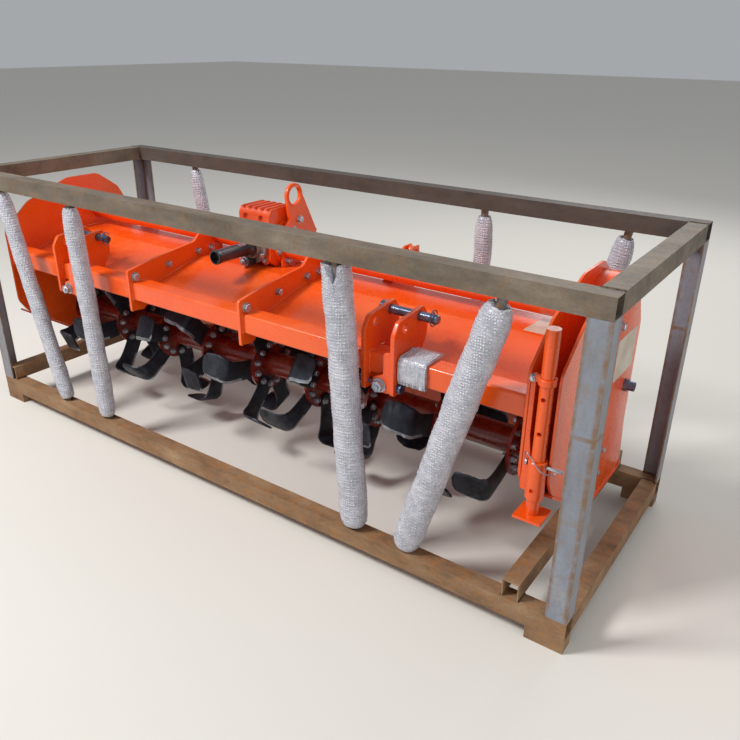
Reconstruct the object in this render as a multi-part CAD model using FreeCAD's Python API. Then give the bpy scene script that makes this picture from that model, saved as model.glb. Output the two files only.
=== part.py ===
import FreeCAD, Part
import math
import os

# Rotary tiller (rotavator) for a tractor's three-point hitch, standing in the
# welded steel frame that it is delivered in. Millimetres, X along the tiller,
# Y from the hitch side to the rear, Z up. The origin is on the ground under
# the middle of the frame.
V = FreeCAD.Vector
X_AXIS = V(1, 0, 0)

# Gaps between pieces
seat_gap = 0.3             # between pieces bolted or welded together
pin_gap = 0.3              # round a pin that turns
rotor_gap = 0.4            # round the rotor's stub shafts

# Transport frame
crate_length = 2580.0
crate_depth = 870.0
crate_height = 990.0
top_tube = 55.0            # square tube of the top rails
base_tube_high = 60.0      # rectangular tube of the base rails
base_tube_wide = 50.0
tube_wall = 3.0
post_leg = 60.0            # angle section of the corner posts
post_thick = 5.0
foot_high = 40.0
foot_long = 110.0
bearer_wide = 50.0         # channels that carry the skids
bearer_high = 57.0
bearer_wall = 4.0
brace_radius = 13.0        # round braces of the long sides
wrap_radius = 39.0         # wrapping round a brace
wrap_bare_foot = 14.0      # bare end of a brace
wrap_bare_top = 22.0

# Body of the tiller
left_room = 80.0           # from the frame's left end to the left side plate
right_room = 210.0         # from the right side plate to the frame's right end
front_room = 83.0          # from the frame's front to the side plates
rear_room = 140.0
plate_top_z = 910.0
plate_thick = 8.0
plate_corner = 18.0
hood_thick = 5.0
beam_high = 66.0           # front beam, a square tube
beam_wide = 70.0
beam_wall = 6.0
beam_inset = 12.0          # from the front edge of the side plates
beam_top_z = 663.0
hood_top_z = 690.0
hood_lip = 28.0            # of the hood's front edge above the beam's underside
hood_heel = 90.0           # drop of the hood's rear bend
skid_thick = 8.0

# Rotor
rotor_z = 330.0
rotor_tube_radius = 45.0
rotor_tube_wall = 8.0
rotor_left_gap = 60.0      # from the end flange to the side plate
rotor_right_gap = 125.0
stub_radius = 30.0
hub_radius = 40.0
flange_radius = 105.0
flange_thick = 10.0
flange_count = 9
tines_per_flange = 6
flange_stagger = 37.0      # degrees from one flange to the next
tine_width = 70.0
tine_thick = 9.0
tine_reach = 112.0          # length of the bent blade along the rotor

# Drive line
drive_step = 130.0         # from the rotor's axis back to the drive axis
drive_z = 765.0
drive_tube_radius = 52.0
drive_tube_wall = 7.0
drive_flange_radius = 74.0
drive_flange_thick = 16.0
hitch_x = -181.0           # middle of the gearbox and of the hitch
gearbox_wide = 150.0
gearbox_front = 89.0       # from the drive axis forward
gearbox_rear = 97.0
gearbox_top_z = 905.0
fin_count = 6
fin_thick = 8.0
input_radius = 17.5
guard_radius = 25.0
guard_long = 170.0
cap_radius = 62.0
cap_thick = 14.0
collar_radius = 42.0
collar_long = 18.0
case_thick = 72.0          # side gear case, between its plates
case_top_radius = 118.0
case_wall = 8.0
cover_thick = 8.0
plug_inset = 70.0          # from the rear edge of the cover
plug_z = 500.0

# Hitch
mast_spread = 545.0        # between the middles of the two hitch plates
mast_thick = 12.0
support_thick = 12.0
top_hole_radius = 32.0
top_hole_step = 22.0       # behind the drive axis
top_hole_z = 944.0
top_ear_radius = 45.0
ear_spread = 1455.0        # between the middles of the two clevises
ear_centre_x = -88.0
ear_gap = 84.0             # between the two ears of a clevis
ear_thick = 14.0
hitch_pin_radius = 14.0
hitch_pin_inset = 105.0    # behind the front of the beam
hitch_pin_z = 760.0
pin_free_end = 62.0        # length that stands out past the clevis
pin_head = 18.0

# Trailing board and its stays
board_hinge_inset = 5.0
board_hinge_z = 480.0
board_length = 290.0
board_lip = 20.0
board_thick = 5.0
board_angle = 0.0          # degrees from the vertical, as it hangs
board_end_gap = 12.0
hinge_radius = 8.0
knuckle_wall = 5.0
knuckle_long = 90.0
hinge_count = 6
lug_thick = 10.0
lug_gap = 3.0
stay_places = (-420.0, 330.0)
stay_step = 15.0           # upper pin of the stays, behind the board's hinge
stay_rise = 290.0          # and above it
stay_pin_radius = 8.0
stay_reach = 230.0         # from the board's hinge to the lower pin, along the board
stay_offset = 42.0         # of the lower pin from the board
stay_rod_radius = 8.0
stay_eye_radius = 18.0
stay_slot = 11.0           # free way of the lower pin in its eye, each way
stay_eye_thick = 22.0
stay_ear_thick = 8.0
stay_ear_gap = 1.0

# Parking stand, beside the right side plate
stand_out = 54.0           # from the right side plate's inner face
stand_step = 5.0           # in front of the side plate's edge
stand_collar_radius = 25.0
stand_collar_long = 112.0
collar_foot_z = 392.0
guide_z = 726.0            # guide plate of the leg
guide_thick = 8.0
leg_radius = 18.0
leg_long = 527.0
stand_foot_wide = 78.0
stand_foot_thick = 8.0
stand_foot_z = 335.0       # underside of the foot with the stand up
stand_pin_radius = 6.0
stand_pin_z = 490.0
stand_hole_pitch = 60.0
front_hole_pitch = 95.0

half_length = crate_length / 2.0
half_depth = crate_depth / 2.0
base_top_z = foot_high + base_tube_high
top_rail_z = crate_height - top_tube
bearer_top_z = base_top_z + bearer_high
left_x = -half_length + left_room
right_x = half_length - right_room
plate_front_y = -half_depth + front_room
plate_rear_y = half_depth - rear_room
plate_deep = plate_rear_y - plate_front_y
skid_flat_z = bearer_top_z + skid_thick
beam_front_y = plate_front_y + beam_inset
beam_rear_y = beam_front_y + beam_wide
beam_foot_z = beam_top_z - beam_high
rotor_y = plate_front_y + 0.52087 * plate_deep
tine_radius = 0.37094 * plate_deep
drive_y = rotor_y + drive_step
gearbox_front_y = drive_y - gearbox_front
gearbox_rear_y = drive_y + gearbox_rear
gearbox_bottom_z = hood_top_z + 2.0
input_z = drive_z
top_hole_y = drive_y + top_hole_step
hitch_pin_y = beam_front_y + hitch_pin_inset
board_hinge_y = plate_rear_y - board_hinge_inset
stay_y = board_hinge_y + stay_step
stay_z = board_hinge_z + stay_rise
stand_x = right_x + stand_out
stand_y = plate_front_y - stand_step
case_foot_radius = 0.1855 * plate_deep
plug_y = plate_rear_y - plug_inset

nodes = {}


def box(x0, x1, y0, y1, z0, z1):
    """A block between two corners, given in any order."""
    x0, x1, y0, y1, z0, z1 = min(x0, x1), max(x0, x1), min(y0, y1), max(y0, y1), min(z0, z1), max(z0, z1)
    return Part.makeBox(x1 - x0, y1 - y0, z1 - z0, V(x0, y0, z0))


def tube_box(x0, x1, y0, y1, z0, z1, along):
    """A rectangular tube with open ends; along is the axis it runs on."""
    t = tube_wall
    tx, ty = (0.0, t) if along == "x" else (t, 0.0)
    return box(x0, x1, y0, y1, z0, z1).cut(box(x0 + tx, x1 - tx, y0 + ty, y1 - ty, z0 + t, z1 - t))


def rod(radius, start, end):
    """A round bar between two points."""
    a, b = V(*start), V(*end)
    return Part.makeCylinder(radius, (b - a).Length, a, b - a)


def rod_x(radius, x0, x1, y, z):
    """A round bar along X."""
    return rod(radius, (min(x0, x1), y, z), (max(x0, x1), y, z))


def ring_x(radius, bore, x0, x1, y, z):
    """A ring or tube along X."""
    over = 1.0 if x0 < x1 else -1.0
    return rod_x(radius, x0, x1, y, z).cut(rod_x(bore, x0 - over, x1 + over, y, z))


def plate_yz(outline, x0, x1):
    """A plate square to X, from a list of (y, z) corners."""
    corners = [V(min(x0, x1), y, z) for y, z in outline]
    face = Part.Face(Part.makePolygon(corners + corners[:1]))
    return face.extrude(V(abs(x1 - x0), 0, 0))


def rounded(shape, radius, where=None):
    """The shape with its straight edges along X rounded, all or those whose middle passes a test."""
    edges = []
    for edge in shape.Edges:
        if edge.Curve.TypeId != "Part::GeomLine":
            continue
        way = (edge.Vertexes[-1].Point - edge.Vertexes[0].Point).normalize()
        if abs(way.x) > 0.999 and (where is None or where(edge.CenterOfMass)):
            edges.append(edge)
    return shape.makeFillet(radius, edges) if edges else shape


def sheet_yz(line, thick, x0, x1):
    """A bent sheet square to X; the line is its upper or rear face."""
    lower = []
    last = len(line) - 1
    for i, (y, z) in enumerate(line):
        steps = []
        if i > 0:
            steps.append(V(0, y - line[i - 1][0], z - line[i - 1][1]).normalize())
        if i < last:
            steps.append(V(0, line[i + 1][0] - y, line[i + 1][1] - z).normalize())
        middle = (steps[0] + steps[-1]).normalize()
        normal = V(0, middle.z, -middle.y)
        shift = thick / V(0, steps[0].z, -steps[0].y).dot(normal)
        lower.append((y + normal.y * shift, z + normal.z * shift))
    return plate_yz(line + lower[::-1], x0, x1)


def join(shapes):
    """Touching solids made one."""
    shapes = list(shapes)
    return shapes[0].fuse(shapes[1:]).removeSplitter()


def group(shapes):
    """Solids that don't touch, kept in one node."""
    return Part.makeCompound(list(shapes))


def turned(shape, y, z, degrees):
    """A copy turned about an axis along X."""
    copy = shape.copy()
    copy.rotate(V(0, y, z), X_AXIS, degrees)
    return copy


# Transport frame: base rails, feet, top rails, corner posts. The base has no rail at
# its left end, where a bearer ties the long rails together
def long_rail(side, z0, z1, wide):
    """A rail as long as the frame, on the front (-1) or rear (1) side."""
    return tube_box(-half_length, half_length, min(side * half_depth, side * (half_depth - wide)),
                    max(side * half_depth, side * (half_depth - wide)), z0, z1, "x")


def end_rail(end, z0, z1, wide, end_wide):
    """A rail across the frame's end, between the long rails."""
    reach = half_depth - wide - seat_gap
    return tube_box(min(end * half_length, end * (half_length - end_wide)),
                    max(end * half_length, end * (half_length - end_wide)), -reach, reach, z0, z1, "y")


nodes["crate_base_rails"] = group(
    [long_rail(side, foot_high, base_top_z, base_tube_wide) for side in (-1, 1)]
    + [end_rail(1, foot_high, base_top_z, base_tube_wide, base_tube_wide)])
nodes["crate_top_rails"] = group(
    [long_rail(side, top_rail_z, crate_height, top_tube) for side in (-1, 1)]
    + [end_rail(end, top_rail_z, crate_height, top_tube, top_tube) for end in (-1, 1)])
nodes["crate_feet"] = group(
    box(end * half_length, end * (half_length - foot_long), side * half_depth, side * (half_depth - base_tube_wide),
        0.0, foot_high)
    for end in (-1, 1) for side in (-1, 1))


def corner_post(end, side):
    """An angle section on the base rails, its heel at the frame's corner."""
    x, y = end * half_length, side * half_depth
    upright = [box(x, x - end * post_leg, y, y - side * post_thick, base_top_z, top_rail_z),
               box(x, x - end * post_thick, y, y - side * post_leg, base_top_z, top_rail_z)]
    return join(upright)


nodes["crate_posts"] = group(corner_post(end, side) for end in (-1, 1) for side in (-1, 1))

# Bearers: two channels with their backs up, across the base rails, under the skids
skid_span_left = (left_x - 52.0, left_x)
skid_span_right = (right_x, right_x + 92.0)


def bearer(middle_x):
    """A channel from the front rail to the rear rail."""
    x0, x1 = middle_x - bearer_wide / 2.0, middle_x + bearer_wide / 2.0
    reach = half_depth - post_thick - seat_gap
    outer = box(x0, x1, -reach, reach, base_top_z, bearer_top_z)
    return outer.cut(box(x0 + bearer_wall, x1 - bearer_wall, -reach, reach, base_top_z, bearer_top_z - bearer_wall))


nodes["crate_bearers"] = group(bearer(sum(span) / 2.0) for span in (skid_span_left, skid_span_right))

# Braces of the long sides, with their wrapping: the places of their top and foot as shares
# of the frame's half length, and their side
braces = [
    (-0.841, -0.671, -1),
    (-0.500, -0.471, -1),
    (0.411, 0.463, -1),
    (0.795, 0.602, -1),
    (-0.698, -0.589, 1),
    (0.432, 0.439, 1),
    (0.822, 0.698, 1),
]


def brace_ends(top_share, foot_share, side):
    """The foot and the top of a brace's middle line."""
    y = side * (half_depth - base_tube_wide / 2.0)
    return V(foot_share * half_length, y, base_top_z), V(top_share * half_length, y, top_rail_z)


def brace(row):
    """A round bar whose ends are cut flat where they meet the rails."""
    foot, top = brace_ends(*row)
    way = (top - foot).normalize()
    bar = rod(brace_radius, foot - way * post_leg, top + way * post_leg)
    return bar.common(box(-half_length, half_length, foot.y - post_leg, foot.y + post_leg, base_top_z, top_rail_z))


def wrap(row):
    """A sleeve of wrapping that leaves the brace's ends bare."""
    foot, top = brace_ends(*row)
    way = (top - foot).normalize()
    a, b = foot + way * wrap_bare_foot, top - way * wrap_bare_top
    return rod(wrap_radius, a, b).cut(rod(brace_radius + seat_gap, a - way, b + way))


nodes["crate_braces"] = group(brace(row) for row in braces)
nodes["brace_wraps_front"] = group(wrap(row) for row in braces if row[2] < 0)
nodes["brace_wraps_rear"] = group(wrap(row) for row in braces if row[2] > 0)

# Front beam, between the side plates
beam_ends = (left_x + seat_gap, right_x - seat_gap)
beam = rounded(box(*beam_ends, beam_front_y, beam_rear_y, beam_foot_z, beam_top_z), beam_wall + 2.0)
nodes["front_beam"] = beam.cut(box(*beam_ends, beam_front_y + beam_wall, beam_rear_y - beam_wall,
                                   beam_foot_z + beam_wall, beam_top_z - beam_wall))

# Hood: one bent sheet from the beam over the rotor to the trailing board
knuckle_radius = hinge_radius + pin_gap + knuckle_wall
hood_line = [
    (beam_rear_y + seat_gap, beam_foot_z + hood_lip),
    (rotor_y + 5.0, hood_top_z),
    (board_hinge_y - 128.0, hood_top_z),
    (board_hinge_y - 28.0, hood_top_z - hood_heel),
    (board_hinge_y - 8.0, board_hinge_z + knuckle_radius + 6.0),
]
nodes["hood"] = sheet_yz(hood_line, hood_thick, *beam_ends)
hood_tip = (hood_line[0][0] - 2.0, hood_line[0][1] - 2.0 * (hood_line[1][1] - hood_line[0][1])
            / (hood_line[1][0] - hood_line[0][0]))
hood_room = sheet_yz([(y, z + seat_gap) for y, z in [hood_tip] + hood_line[1:]],
                     hood_thick + 2.0 * seat_gap, *beam_ends)

# Skids and side plates: corners as shares of the plate's depth, and of the rotor's height over
# the skid or of the plate's height over it
skid_shape = [
    (0.049, 1.350),
    (0.335, 0.578),
    (0.451, 0.262),
    (0.560, 0.000),
    (1.008, 0.000),
    (1.039, 0.099),
]
plate_shape = [
    (1.032, 0.101),
    (1.000, 0.235),
    (1.000, 0.705),
    (0.876, 0.906),
    (0.722, 1.000),
    (0.490, 1.000),
    (0.181, 0.906),
    (0.000, 0.772),
    (0.000, 0.369),
]


def placed(shares, high):
    """Corners (y, z) from their shares of the plate's depth and of a height over the skid."""
    return [(plate_front_y + u * plate_deep, skid_flat_z + v * high) for u, v in shares]


# Skids: bent plates under the side plates, on the bearers. Each plate stands on its skid
skid_line = placed(skid_shape, rotor_z - skid_flat_z)
skid_nose_z = skid_line[0][1]
nodes["skid_left"] = sheet_yz(skid_line, skid_thick, *skid_span_left)
nodes["skid_right"] = sheet_yz(skid_line, skid_thick, *skid_span_right)
plate_outline = [(y, z + seat_gap) for y, z in skid_line] + placed(plate_shape, plate_top_z - skid_flat_z)


def side_plate(x0, x1, bore):
    """An end plate with the holes of the rotor's shaft and the drive tube."""
    plate = rounded(plate_yz(plate_outline, x0, x1), plate_corner, lambda p: p.z > skid_nose_z + 10.0)
    plate = plate.cut(rod_x(bore, x0 - 1, x1 + 1, rotor_y, rotor_z))
    return plate.cut(rod_x(drive_tube_radius + seat_gap, x0 - 1, x1 + 1, drive_y, drive_z))


nodes["side_plate_left"] = side_plate(left_x - plate_thick, left_x, stub_radius + rotor_gap)
nodes["side_plate_right"] = side_plate(right_x, right_x + plate_thick, hub_radius + rotor_gap)

# Rotor tube with its flanges and stub shafts
rotor_left_x = left_x + rotor_left_gap
rotor_right_x = right_x - rotor_right_gap
flange_pitch = (rotor_right_x - rotor_left_x - flange_thick) / (flange_count - 1)
flange_places = [rotor_left_x + i * flange_pitch for i in range(flange_count)]
nodes["rotor_tube"] = join([
    rod_x(rotor_tube_radius, rotor_left_x, rotor_right_x, rotor_y, rotor_z).cut(
        rod_x(rotor_tube_radius - rotor_tube_wall, rotor_left_x + flange_thick, rotor_right_x - flange_thick,
              rotor_y, rotor_z)),
    rod_x(stub_radius, left_x - plate_thick, rotor_left_x, rotor_y, rotor_z),
    rod_x(hub_radius, rotor_right_x, right_x + plate_thick - 2.0, rotor_y, rotor_z)])
nodes["rotor_flanges"] = group(
    ring_x(flange_radius, rotor_tube_radius + seat_gap, x, x + flange_thick, rotor_y, rotor_z) for x in flange_places)

# Tines: L-shaped blades, three bent each way on every flange but the end ones
blade_start = math.radians(74.0)
blade_end = math.radians(96.0)


def arc_at(radius, a, b):
    """An arc about the rotor's axis, in the YZ plane, from angle a to angle b."""
    points = [V(0, radius * math.cos(t), radius * math.sin(t)) for t in (a, 0.5 * (a + b), b)]
    return Part.Arc(*points).toShape()


def tine():
    """A flat shank that widens outwards, its outer end bent to a blade along the rotor."""
    outer, inner = tine_radius, tine_radius - tine_thick
    edge = [V(0, r * math.cos(t), r * math.sin(t))
            for r, t in ((outer, blade_start), (outer, blade_end), (inner, blade_end), (inner, blade_start))]
    blade_face = Part.Face(Part.Wire([arc_at(outer, blade_start, blade_end), Part.makeLine(edge[1], edge[2]),
                                      arc_at(inner, blade_end, blade_start), Part.makeLine(edge[3], edge[0])]))
    half = tine_width / 2.0
    shank_foot = [V(0, -half, rotor_tube_radius + 12.0), V(0, half, rotor_tube_radius + 12.0),
                  V(0, half * 1.15, flange_radius + 20.0)]
    shank_side = V(0, -half * 0.75, flange_radius + 20.0)
    shank_face = Part.Face(Part.Wire([
        Part.makeLine(shank_foot[0], shank_foot[1]), Part.makeLine(shank_foot[1], shank_foot[2]),
        Part.makeLine(shank_foot[2], edge[3]), arc_at(inner, blade_start, blade_end),
        Part.makeLine(edge[2], shank_side), Part.makeLine(shank_side, shank_foot[0])]))
    return join([shank_face.extrude(V(tine_thick, 0, 0)), blade_face.extrude(V(tine_reach, 0, 0))])


def tines_bent(hand):
    """Every tine bent to the right (1) or to the left (-1)."""
    model = tine()
    if hand < 0:
        model = model.mirror(V(0, 0, 0), X_AXIS)
    made = []
    for number, x in enumerate(flange_places):
        if (hand < 0 and number == 0) or (hand > 0 and number == flange_count - 1):
            continue
        base = x + flange_thick + seat_gap if hand > 0 else x - seat_gap
        share = tines_per_flange // 2
        for i in range(share):
            turn = i * 360.0 / share + number * flange_stagger + (0.0 if hand > 0 else 180.0 / share)
            piece = model.copy()
            piece.translate(V(base, rotor_y, rotor_z))
            made.append(turned(piece, rotor_y, rotor_z, turn))
    return group(made)


nodes["tines_right_hand"] = tines_bent(1)
nodes["tines_left_hand"] = tines_bent(-1)

# Bearing housings inside the side plates
nodes["bearing_left"] = join([
    ring_x(82.0, stub_radius + rotor_gap, left_x + seat_gap, left_x + 14.0, rotor_y, rotor_z),
    ring_x(56.0, stub_radius + rotor_gap, left_x + 14.0, left_x + 52.0, rotor_y, rotor_z)])
nodes["hub_housing_right"] = join([
    ring_x(98.0, hub_radius + rotor_gap, right_x - 14.0, right_x - seat_gap, rotor_y, rotor_z),
    ring_x(66.0, hub_radius + rotor_gap, right_x - 92.0, right_x - 14.0, rotor_y, rotor_z)])

# Side gear case outside the right side plate, with its cover plate and plug
case_x0 = right_x + plate_thick + seat_gap
case_x1 = case_x0 + case_thick


def case_outline(x0, x1, inset):
    """Two round ends joined by tangent flanks, round the drive axis and the rotor's axis."""
    top_radius, foot_radius = case_top_radius - inset, case_foot_radius - inset
    top = rod_x(top_radius, x0, x1, drive_y, drive_z)
    foot = rod_x(foot_radius, x0, x1, rotor_y, rotor_z)
    way = V(0, drive_y - rotor_y, drive_z - rotor_z)
    lean = (foot_radius - top_radius) / way.Length
    way.normalize()
    across = V(0, way.z, -way.y)
    flat = math.sqrt(1.0 - lean * lean)
    corners = []
    for sign in (-1, 1):
        normal = across * (sign * flat) + way * lean
        ends = [V(0, rotor_y, rotor_z) + normal * foot_radius, V(0, drive_y, drive_z) + normal * top_radius]
        corners += ends if sign < 0 else ends[::-1]
    return join([top, foot, plate_yz([(p.y, p.z) for p in corners], x0, x1)])


nodes["side_case"] = case_outline(case_x0, case_x1, 0.0).cut(
    case_outline(case_x0 - 1.0, case_x1 - case_wall, case_wall))
cover_x0 = case_x1 + seat_gap
cover_x1 = cover_x0 + cover_thick
nodes["side_case_cover"] = rounded(plate_yz(plate_outline, cover_x0, cover_x1), plate_corner,
                                   lambda p: p.z > skid_nose_z + 10.0)
nodes["case_plug"] = join([
    rod_x(20.0, cover_x1 + seat_gap, cover_x1 + 12.0, plug_y, plug_z),
    rod_x(15.0, cover_x1 + 12.0, cover_x1 + 32.0, plug_y, plug_z)])

# Drive tubes from the gearbox to the side plates, each with a bolting flange
gearbox_left_x = hitch_x - gearbox_wide / 2.0
gearbox_right_x = hitch_x + gearbox_wide / 2.0


def drive_tube(x_flange, x_end, way):
    """A tube along X with a closed outer end, whose flange faces the gearbox."""
    start = x_flange + way * seat_gap
    whole = join([
        rod_x(drive_tube_radius, start, x_end, drive_y, drive_z),
        rod_x(drive_flange_radius, start, start + way * drive_flange_thick, drive_y, drive_z)])
    bore = drive_tube_radius - drive_tube_wall
    return whole.cut(rod_x(bore, start - way, x_end - way * drive_tube_wall, drive_y, drive_z))


nodes["drive_tube_right"] = drive_tube(gearbox_right_x, right_x + plate_thick, 1)
nodes["drive_tube_left"] = drive_tube(gearbox_left_x, left_x - plate_thick, -1)

# Gearbox: cast housing with cooling fins across its top, on the hood
gearbox_high = gearbox_top_z - gearbox_bottom_z
gearbox_deep = gearbox_rear_y - gearbox_front_y


def boxed(shares):
    """Corners (y, z) from their shares of the gearbox's depth and height."""
    return [(gearbox_front_y + u * gearbox_deep, gearbox_bottom_z + v * gearbox_high) for u, v in shares]


housing_outline = boxed([(0.0, 0.12), (0.0, 0.88), (0.08, 0.93), (0.74, 0.93),
                         (1.0, 0.72), (1.0, 0.19), (0.72, 0.0), (0.14, 0.0)])
housing = rounded(plate_yz(housing_outline, gearbox_left_x, gearbox_right_x), 0.045 * gearbox_high)
fin_outline = boxed([(0.02, 0.84), (0.07, 1.0), (0.72, 1.0), (0.97, 0.74)])
fin_pitch = (gearbox_wide - fin_thick) / (fin_count - 1)
fins = [plate_yz(fin_outline, gearbox_left_x + i * fin_pitch, gearbox_left_x + i * fin_pitch + fin_thick)
        for i in range(fin_count)]
nodes["gearbox_housing"] = join([housing] + fins)


def ring_y(radius, bore, y0, y1):
    """A ring about the input shaft."""
    return rod(radius, (hitch_x, y0, input_z), (hitch_x, y1, input_z)).cut(
        rod(bore, (hitch_x, y0 + 1, input_z), (hitch_x, y1 - 1, input_z)))


cap_y = gearbox_front_y - seat_gap
shaft_root_y = cap_y - cap_thick - collar_long
shaft_bore = input_radius + 0.5
nodes["input_bearing_cap"] = join([
    ring_y(cap_radius, shaft_bore, cap_y, cap_y - cap_thick),
    ring_y(collar_radius, shaft_bore, cap_y - cap_thick, shaft_root_y)])
nodes["input_shaft"] = join([
    rod(input_radius, (hitch_x, gearbox_front_y - 1.0, input_z), (hitch_x, shaft_root_y - 6.0, input_z)),
    rod(guard_radius, (hitch_x, shaft_root_y - 4.0, input_z), (hitch_x, shaft_root_y - 4.0 - guard_long, input_z))])

# Hitch plates: from the front beam over the hood to the drive tubes
def slotted(plate, x0, x1):
    """A plate with the slot that fits over the front beam."""
    g = seat_gap
    return plate.cut(box(x0 - 1, x1 + 1, beam_front_y - g, beam_rear_y + g, beam_foot_z - g, beam_top_z + g))


def hood_z(y):
    """Height of the hood's upper face on its front slope and its top."""
    (y0, z0), (y1, z1) = hood_line[0], hood_line[1]
    return z1 if y >= y1 else z0 + (z1 - z0) * (y - y0) / (y1 - y0)


mast_front_y = beam_front_y - 12.0
mast_outline = [
    (mast_front_y, beam_foot_z - 44.0),
    (mast_front_y, beam_top_z + 46.0),
    (hitch_pin_y + 26.0, hood_top_z + 42.0),
    (rotor_y - 15.0, hood_top_z + 60.0),
    (drive_y - 85.0, drive_z + 41.0),
    (drive_y, drive_z + 41.0),
    (drive_y, hood_top_z + seat_gap),
    (hood_line[1][0], hood_top_z + seat_gap),
    (beam_rear_y + 4.0, hood_z(beam_rear_y + 4.0) + seat_gap),
    (beam_rear_y + 4.0, beam_foot_z - 20.0),
    (beam_front_y + 40.0, beam_foot_z - 44.0),
]


def mast_plate(middle_x):
    """A hitch plate that seats on the beam, the hood and the drive tube."""
    x0, x1 = middle_x - mast_thick / 2.0, middle_x + mast_thick / 2.0
    plate = rounded(plate_yz(mast_outline, x0, x1), 9.0, lambda p: p.y < -200.0 and p.y < beam_front_y + 20.0)
    plate = slotted(plate, x0, x1).cut(hood_room)
    return plate.cut(rod_x(drive_tube_radius + seat_gap, x0 - 1, x1 + 1, drive_y, drive_z))


nodes["hitch_plate_left"] = mast_plate(hitch_x - mast_spread / 2.0)
nodes["hitch_plate_right"] = mast_plate(hitch_x + mast_spread / 2.0)

# Support plates of the gearbox: clamped on the flanges of the drive tubes. The right one
# rises to an ear with a large hole
plate_foot = [
    (drive_y + 147.0, drive_z + 37.0),
    (drive_y + 131.0, drive_z - 30.0),
    (hood_line[2][0], hood_top_z + seat_gap),
    (drive_y - 55.0, hood_top_z + seat_gap),
    (drive_y - 55.0, drive_z + 55.0),
]
ear_sides = [
    (drive_y - 8.0, drive_z + 93.0),
    (top_hole_y - top_ear_radius, top_hole_z),
    (top_hole_y + top_ear_radius, top_hole_z),
]


def support_plate(corners, x0, x1):
    """A plate round the drive tube."""
    return plate_yz(corners, x0, x1).cut(
        rod_x(drive_tube_radius + seat_gap, x0 - 1, x1 + 1, drive_y, drive_z))


support_step = 2.0 * seat_gap + drive_flange_thick
support_x0 = gearbox_right_x + support_step
support_x1 = support_x0 + support_thick
nodes["support_plate_left"] = support_plate(
    plate_foot + [(drive_y - 8.0, drive_z + 93.0), (drive_y + 84.0, drive_z + 93.0)],
    gearbox_left_x - support_step - support_thick, gearbox_left_x - support_step)
nodes["support_plate_right"] = join([
    support_plate(plate_foot + ear_sides, support_x0, support_x1),
    rod_x(top_ear_radius, support_x0, support_x1, top_hole_y, top_hole_z)]).cut(
        rod_x(top_hole_radius, support_x0 - 1, support_x1 + 1, top_hole_y, top_hole_z))

# Lower hitch clevises on the front beam, with their pins and clamp bolts
ear_front_y = beam_front_y - 25.0
ear_outline = [
    (ear_front_y, beam_foot_z - 44.0),
    (ear_front_y, hitch_pin_z + 12.0),
    (hitch_pin_y + 20.0, hitch_pin_z + 26.0),
    (hitch_pin_y + 50.0, hitch_pin_z - 10.0),
    (hitch_pin_y + 42.0, hitch_pin_z - 70.0),
    (hitch_pin_y + 10.0, hood_z(hitch_pin_y + 10.0) + seat_gap),
    (beam_rear_y + 6.0, hood_z(beam_rear_y + 6.0) + seat_gap),
    (beam_rear_y + 6.0, beam_foot_z - 16.0),
    (beam_front_y + 24.0, beam_foot_z - 44.0),
]
window_radius = 14.0
clamp_bolt_radius = 9.0
clamp_bolt_z = beam_foot_z - 24.0


def ear(x0, x1):
    """One ear of a clevis, with the holes for the pin, a spare pin and the clamp bolt."""
    plate = slotted(rounded(plate_yz(ear_outline, x0, x1), 10.0, lambda p: p.z > beam_top_z + 60.0), x0, x1)
    plate = plate.cut(hood_room)
    for radius, y, z in ((hitch_pin_radius + pin_gap, hitch_pin_y, hitch_pin_z),
                         (window_radius, ear_front_y + 55.0, hitch_pin_z - 16.0),
                         (clamp_bolt_radius + seat_gap, beam_front_y, clamp_bolt_z)):
        plate = plate.cut(rod_x(radius, x0 - 1, x1 + 1, y, z))
    return plate


near, far = ear_gap / 2.0, ear_gap / 2.0 + ear_thick
for name, sign in (("left", -1), ("right", 1)):
    middle = ear_centre_x + sign * ear_spread / 2.0
    nodes["clevis_" + name] = group([ear(middle - far, middle - near), ear(middle + near, middle + far)])
    nodes["hitch_pin_" + name] = join([
        rod_x(hitch_pin_radius, middle - far - pin_head, middle + far + pin_free_end, hitch_pin_y, hitch_pin_z),
        rod_x(hitch_pin_radius + 8.0, middle - far - pin_head, middle - far - seat_gap, hitch_pin_y, hitch_pin_z)])
    nodes["clamp_bolt_" + name] = join([
        rod_x(clamp_bolt_radius, middle - far - 14.0, middle + far + 14.0, beam_front_y, clamp_bolt_z),
        rod_x(clamp_bolt_radius + 6.0, middle - far - 14.0, middle - far - seat_gap, beam_front_y, clamp_bolt_z),
        rod_x(clamp_bolt_radius + 6.0, middle + far + seat_gap, middle + far + 14.0, beam_front_y, clamp_bolt_z)])

# Parking stand: a long leg with a foot, which slides in a collar and a guide plate on the
# right side plate. A pin along X holds the leg at the collar
def upright(radius, z0, z1):
    """A round bar on the stand's axis."""
    return rod(radius, (stand_x, stand_y, z0), (stand_x, stand_y, z1))


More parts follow.
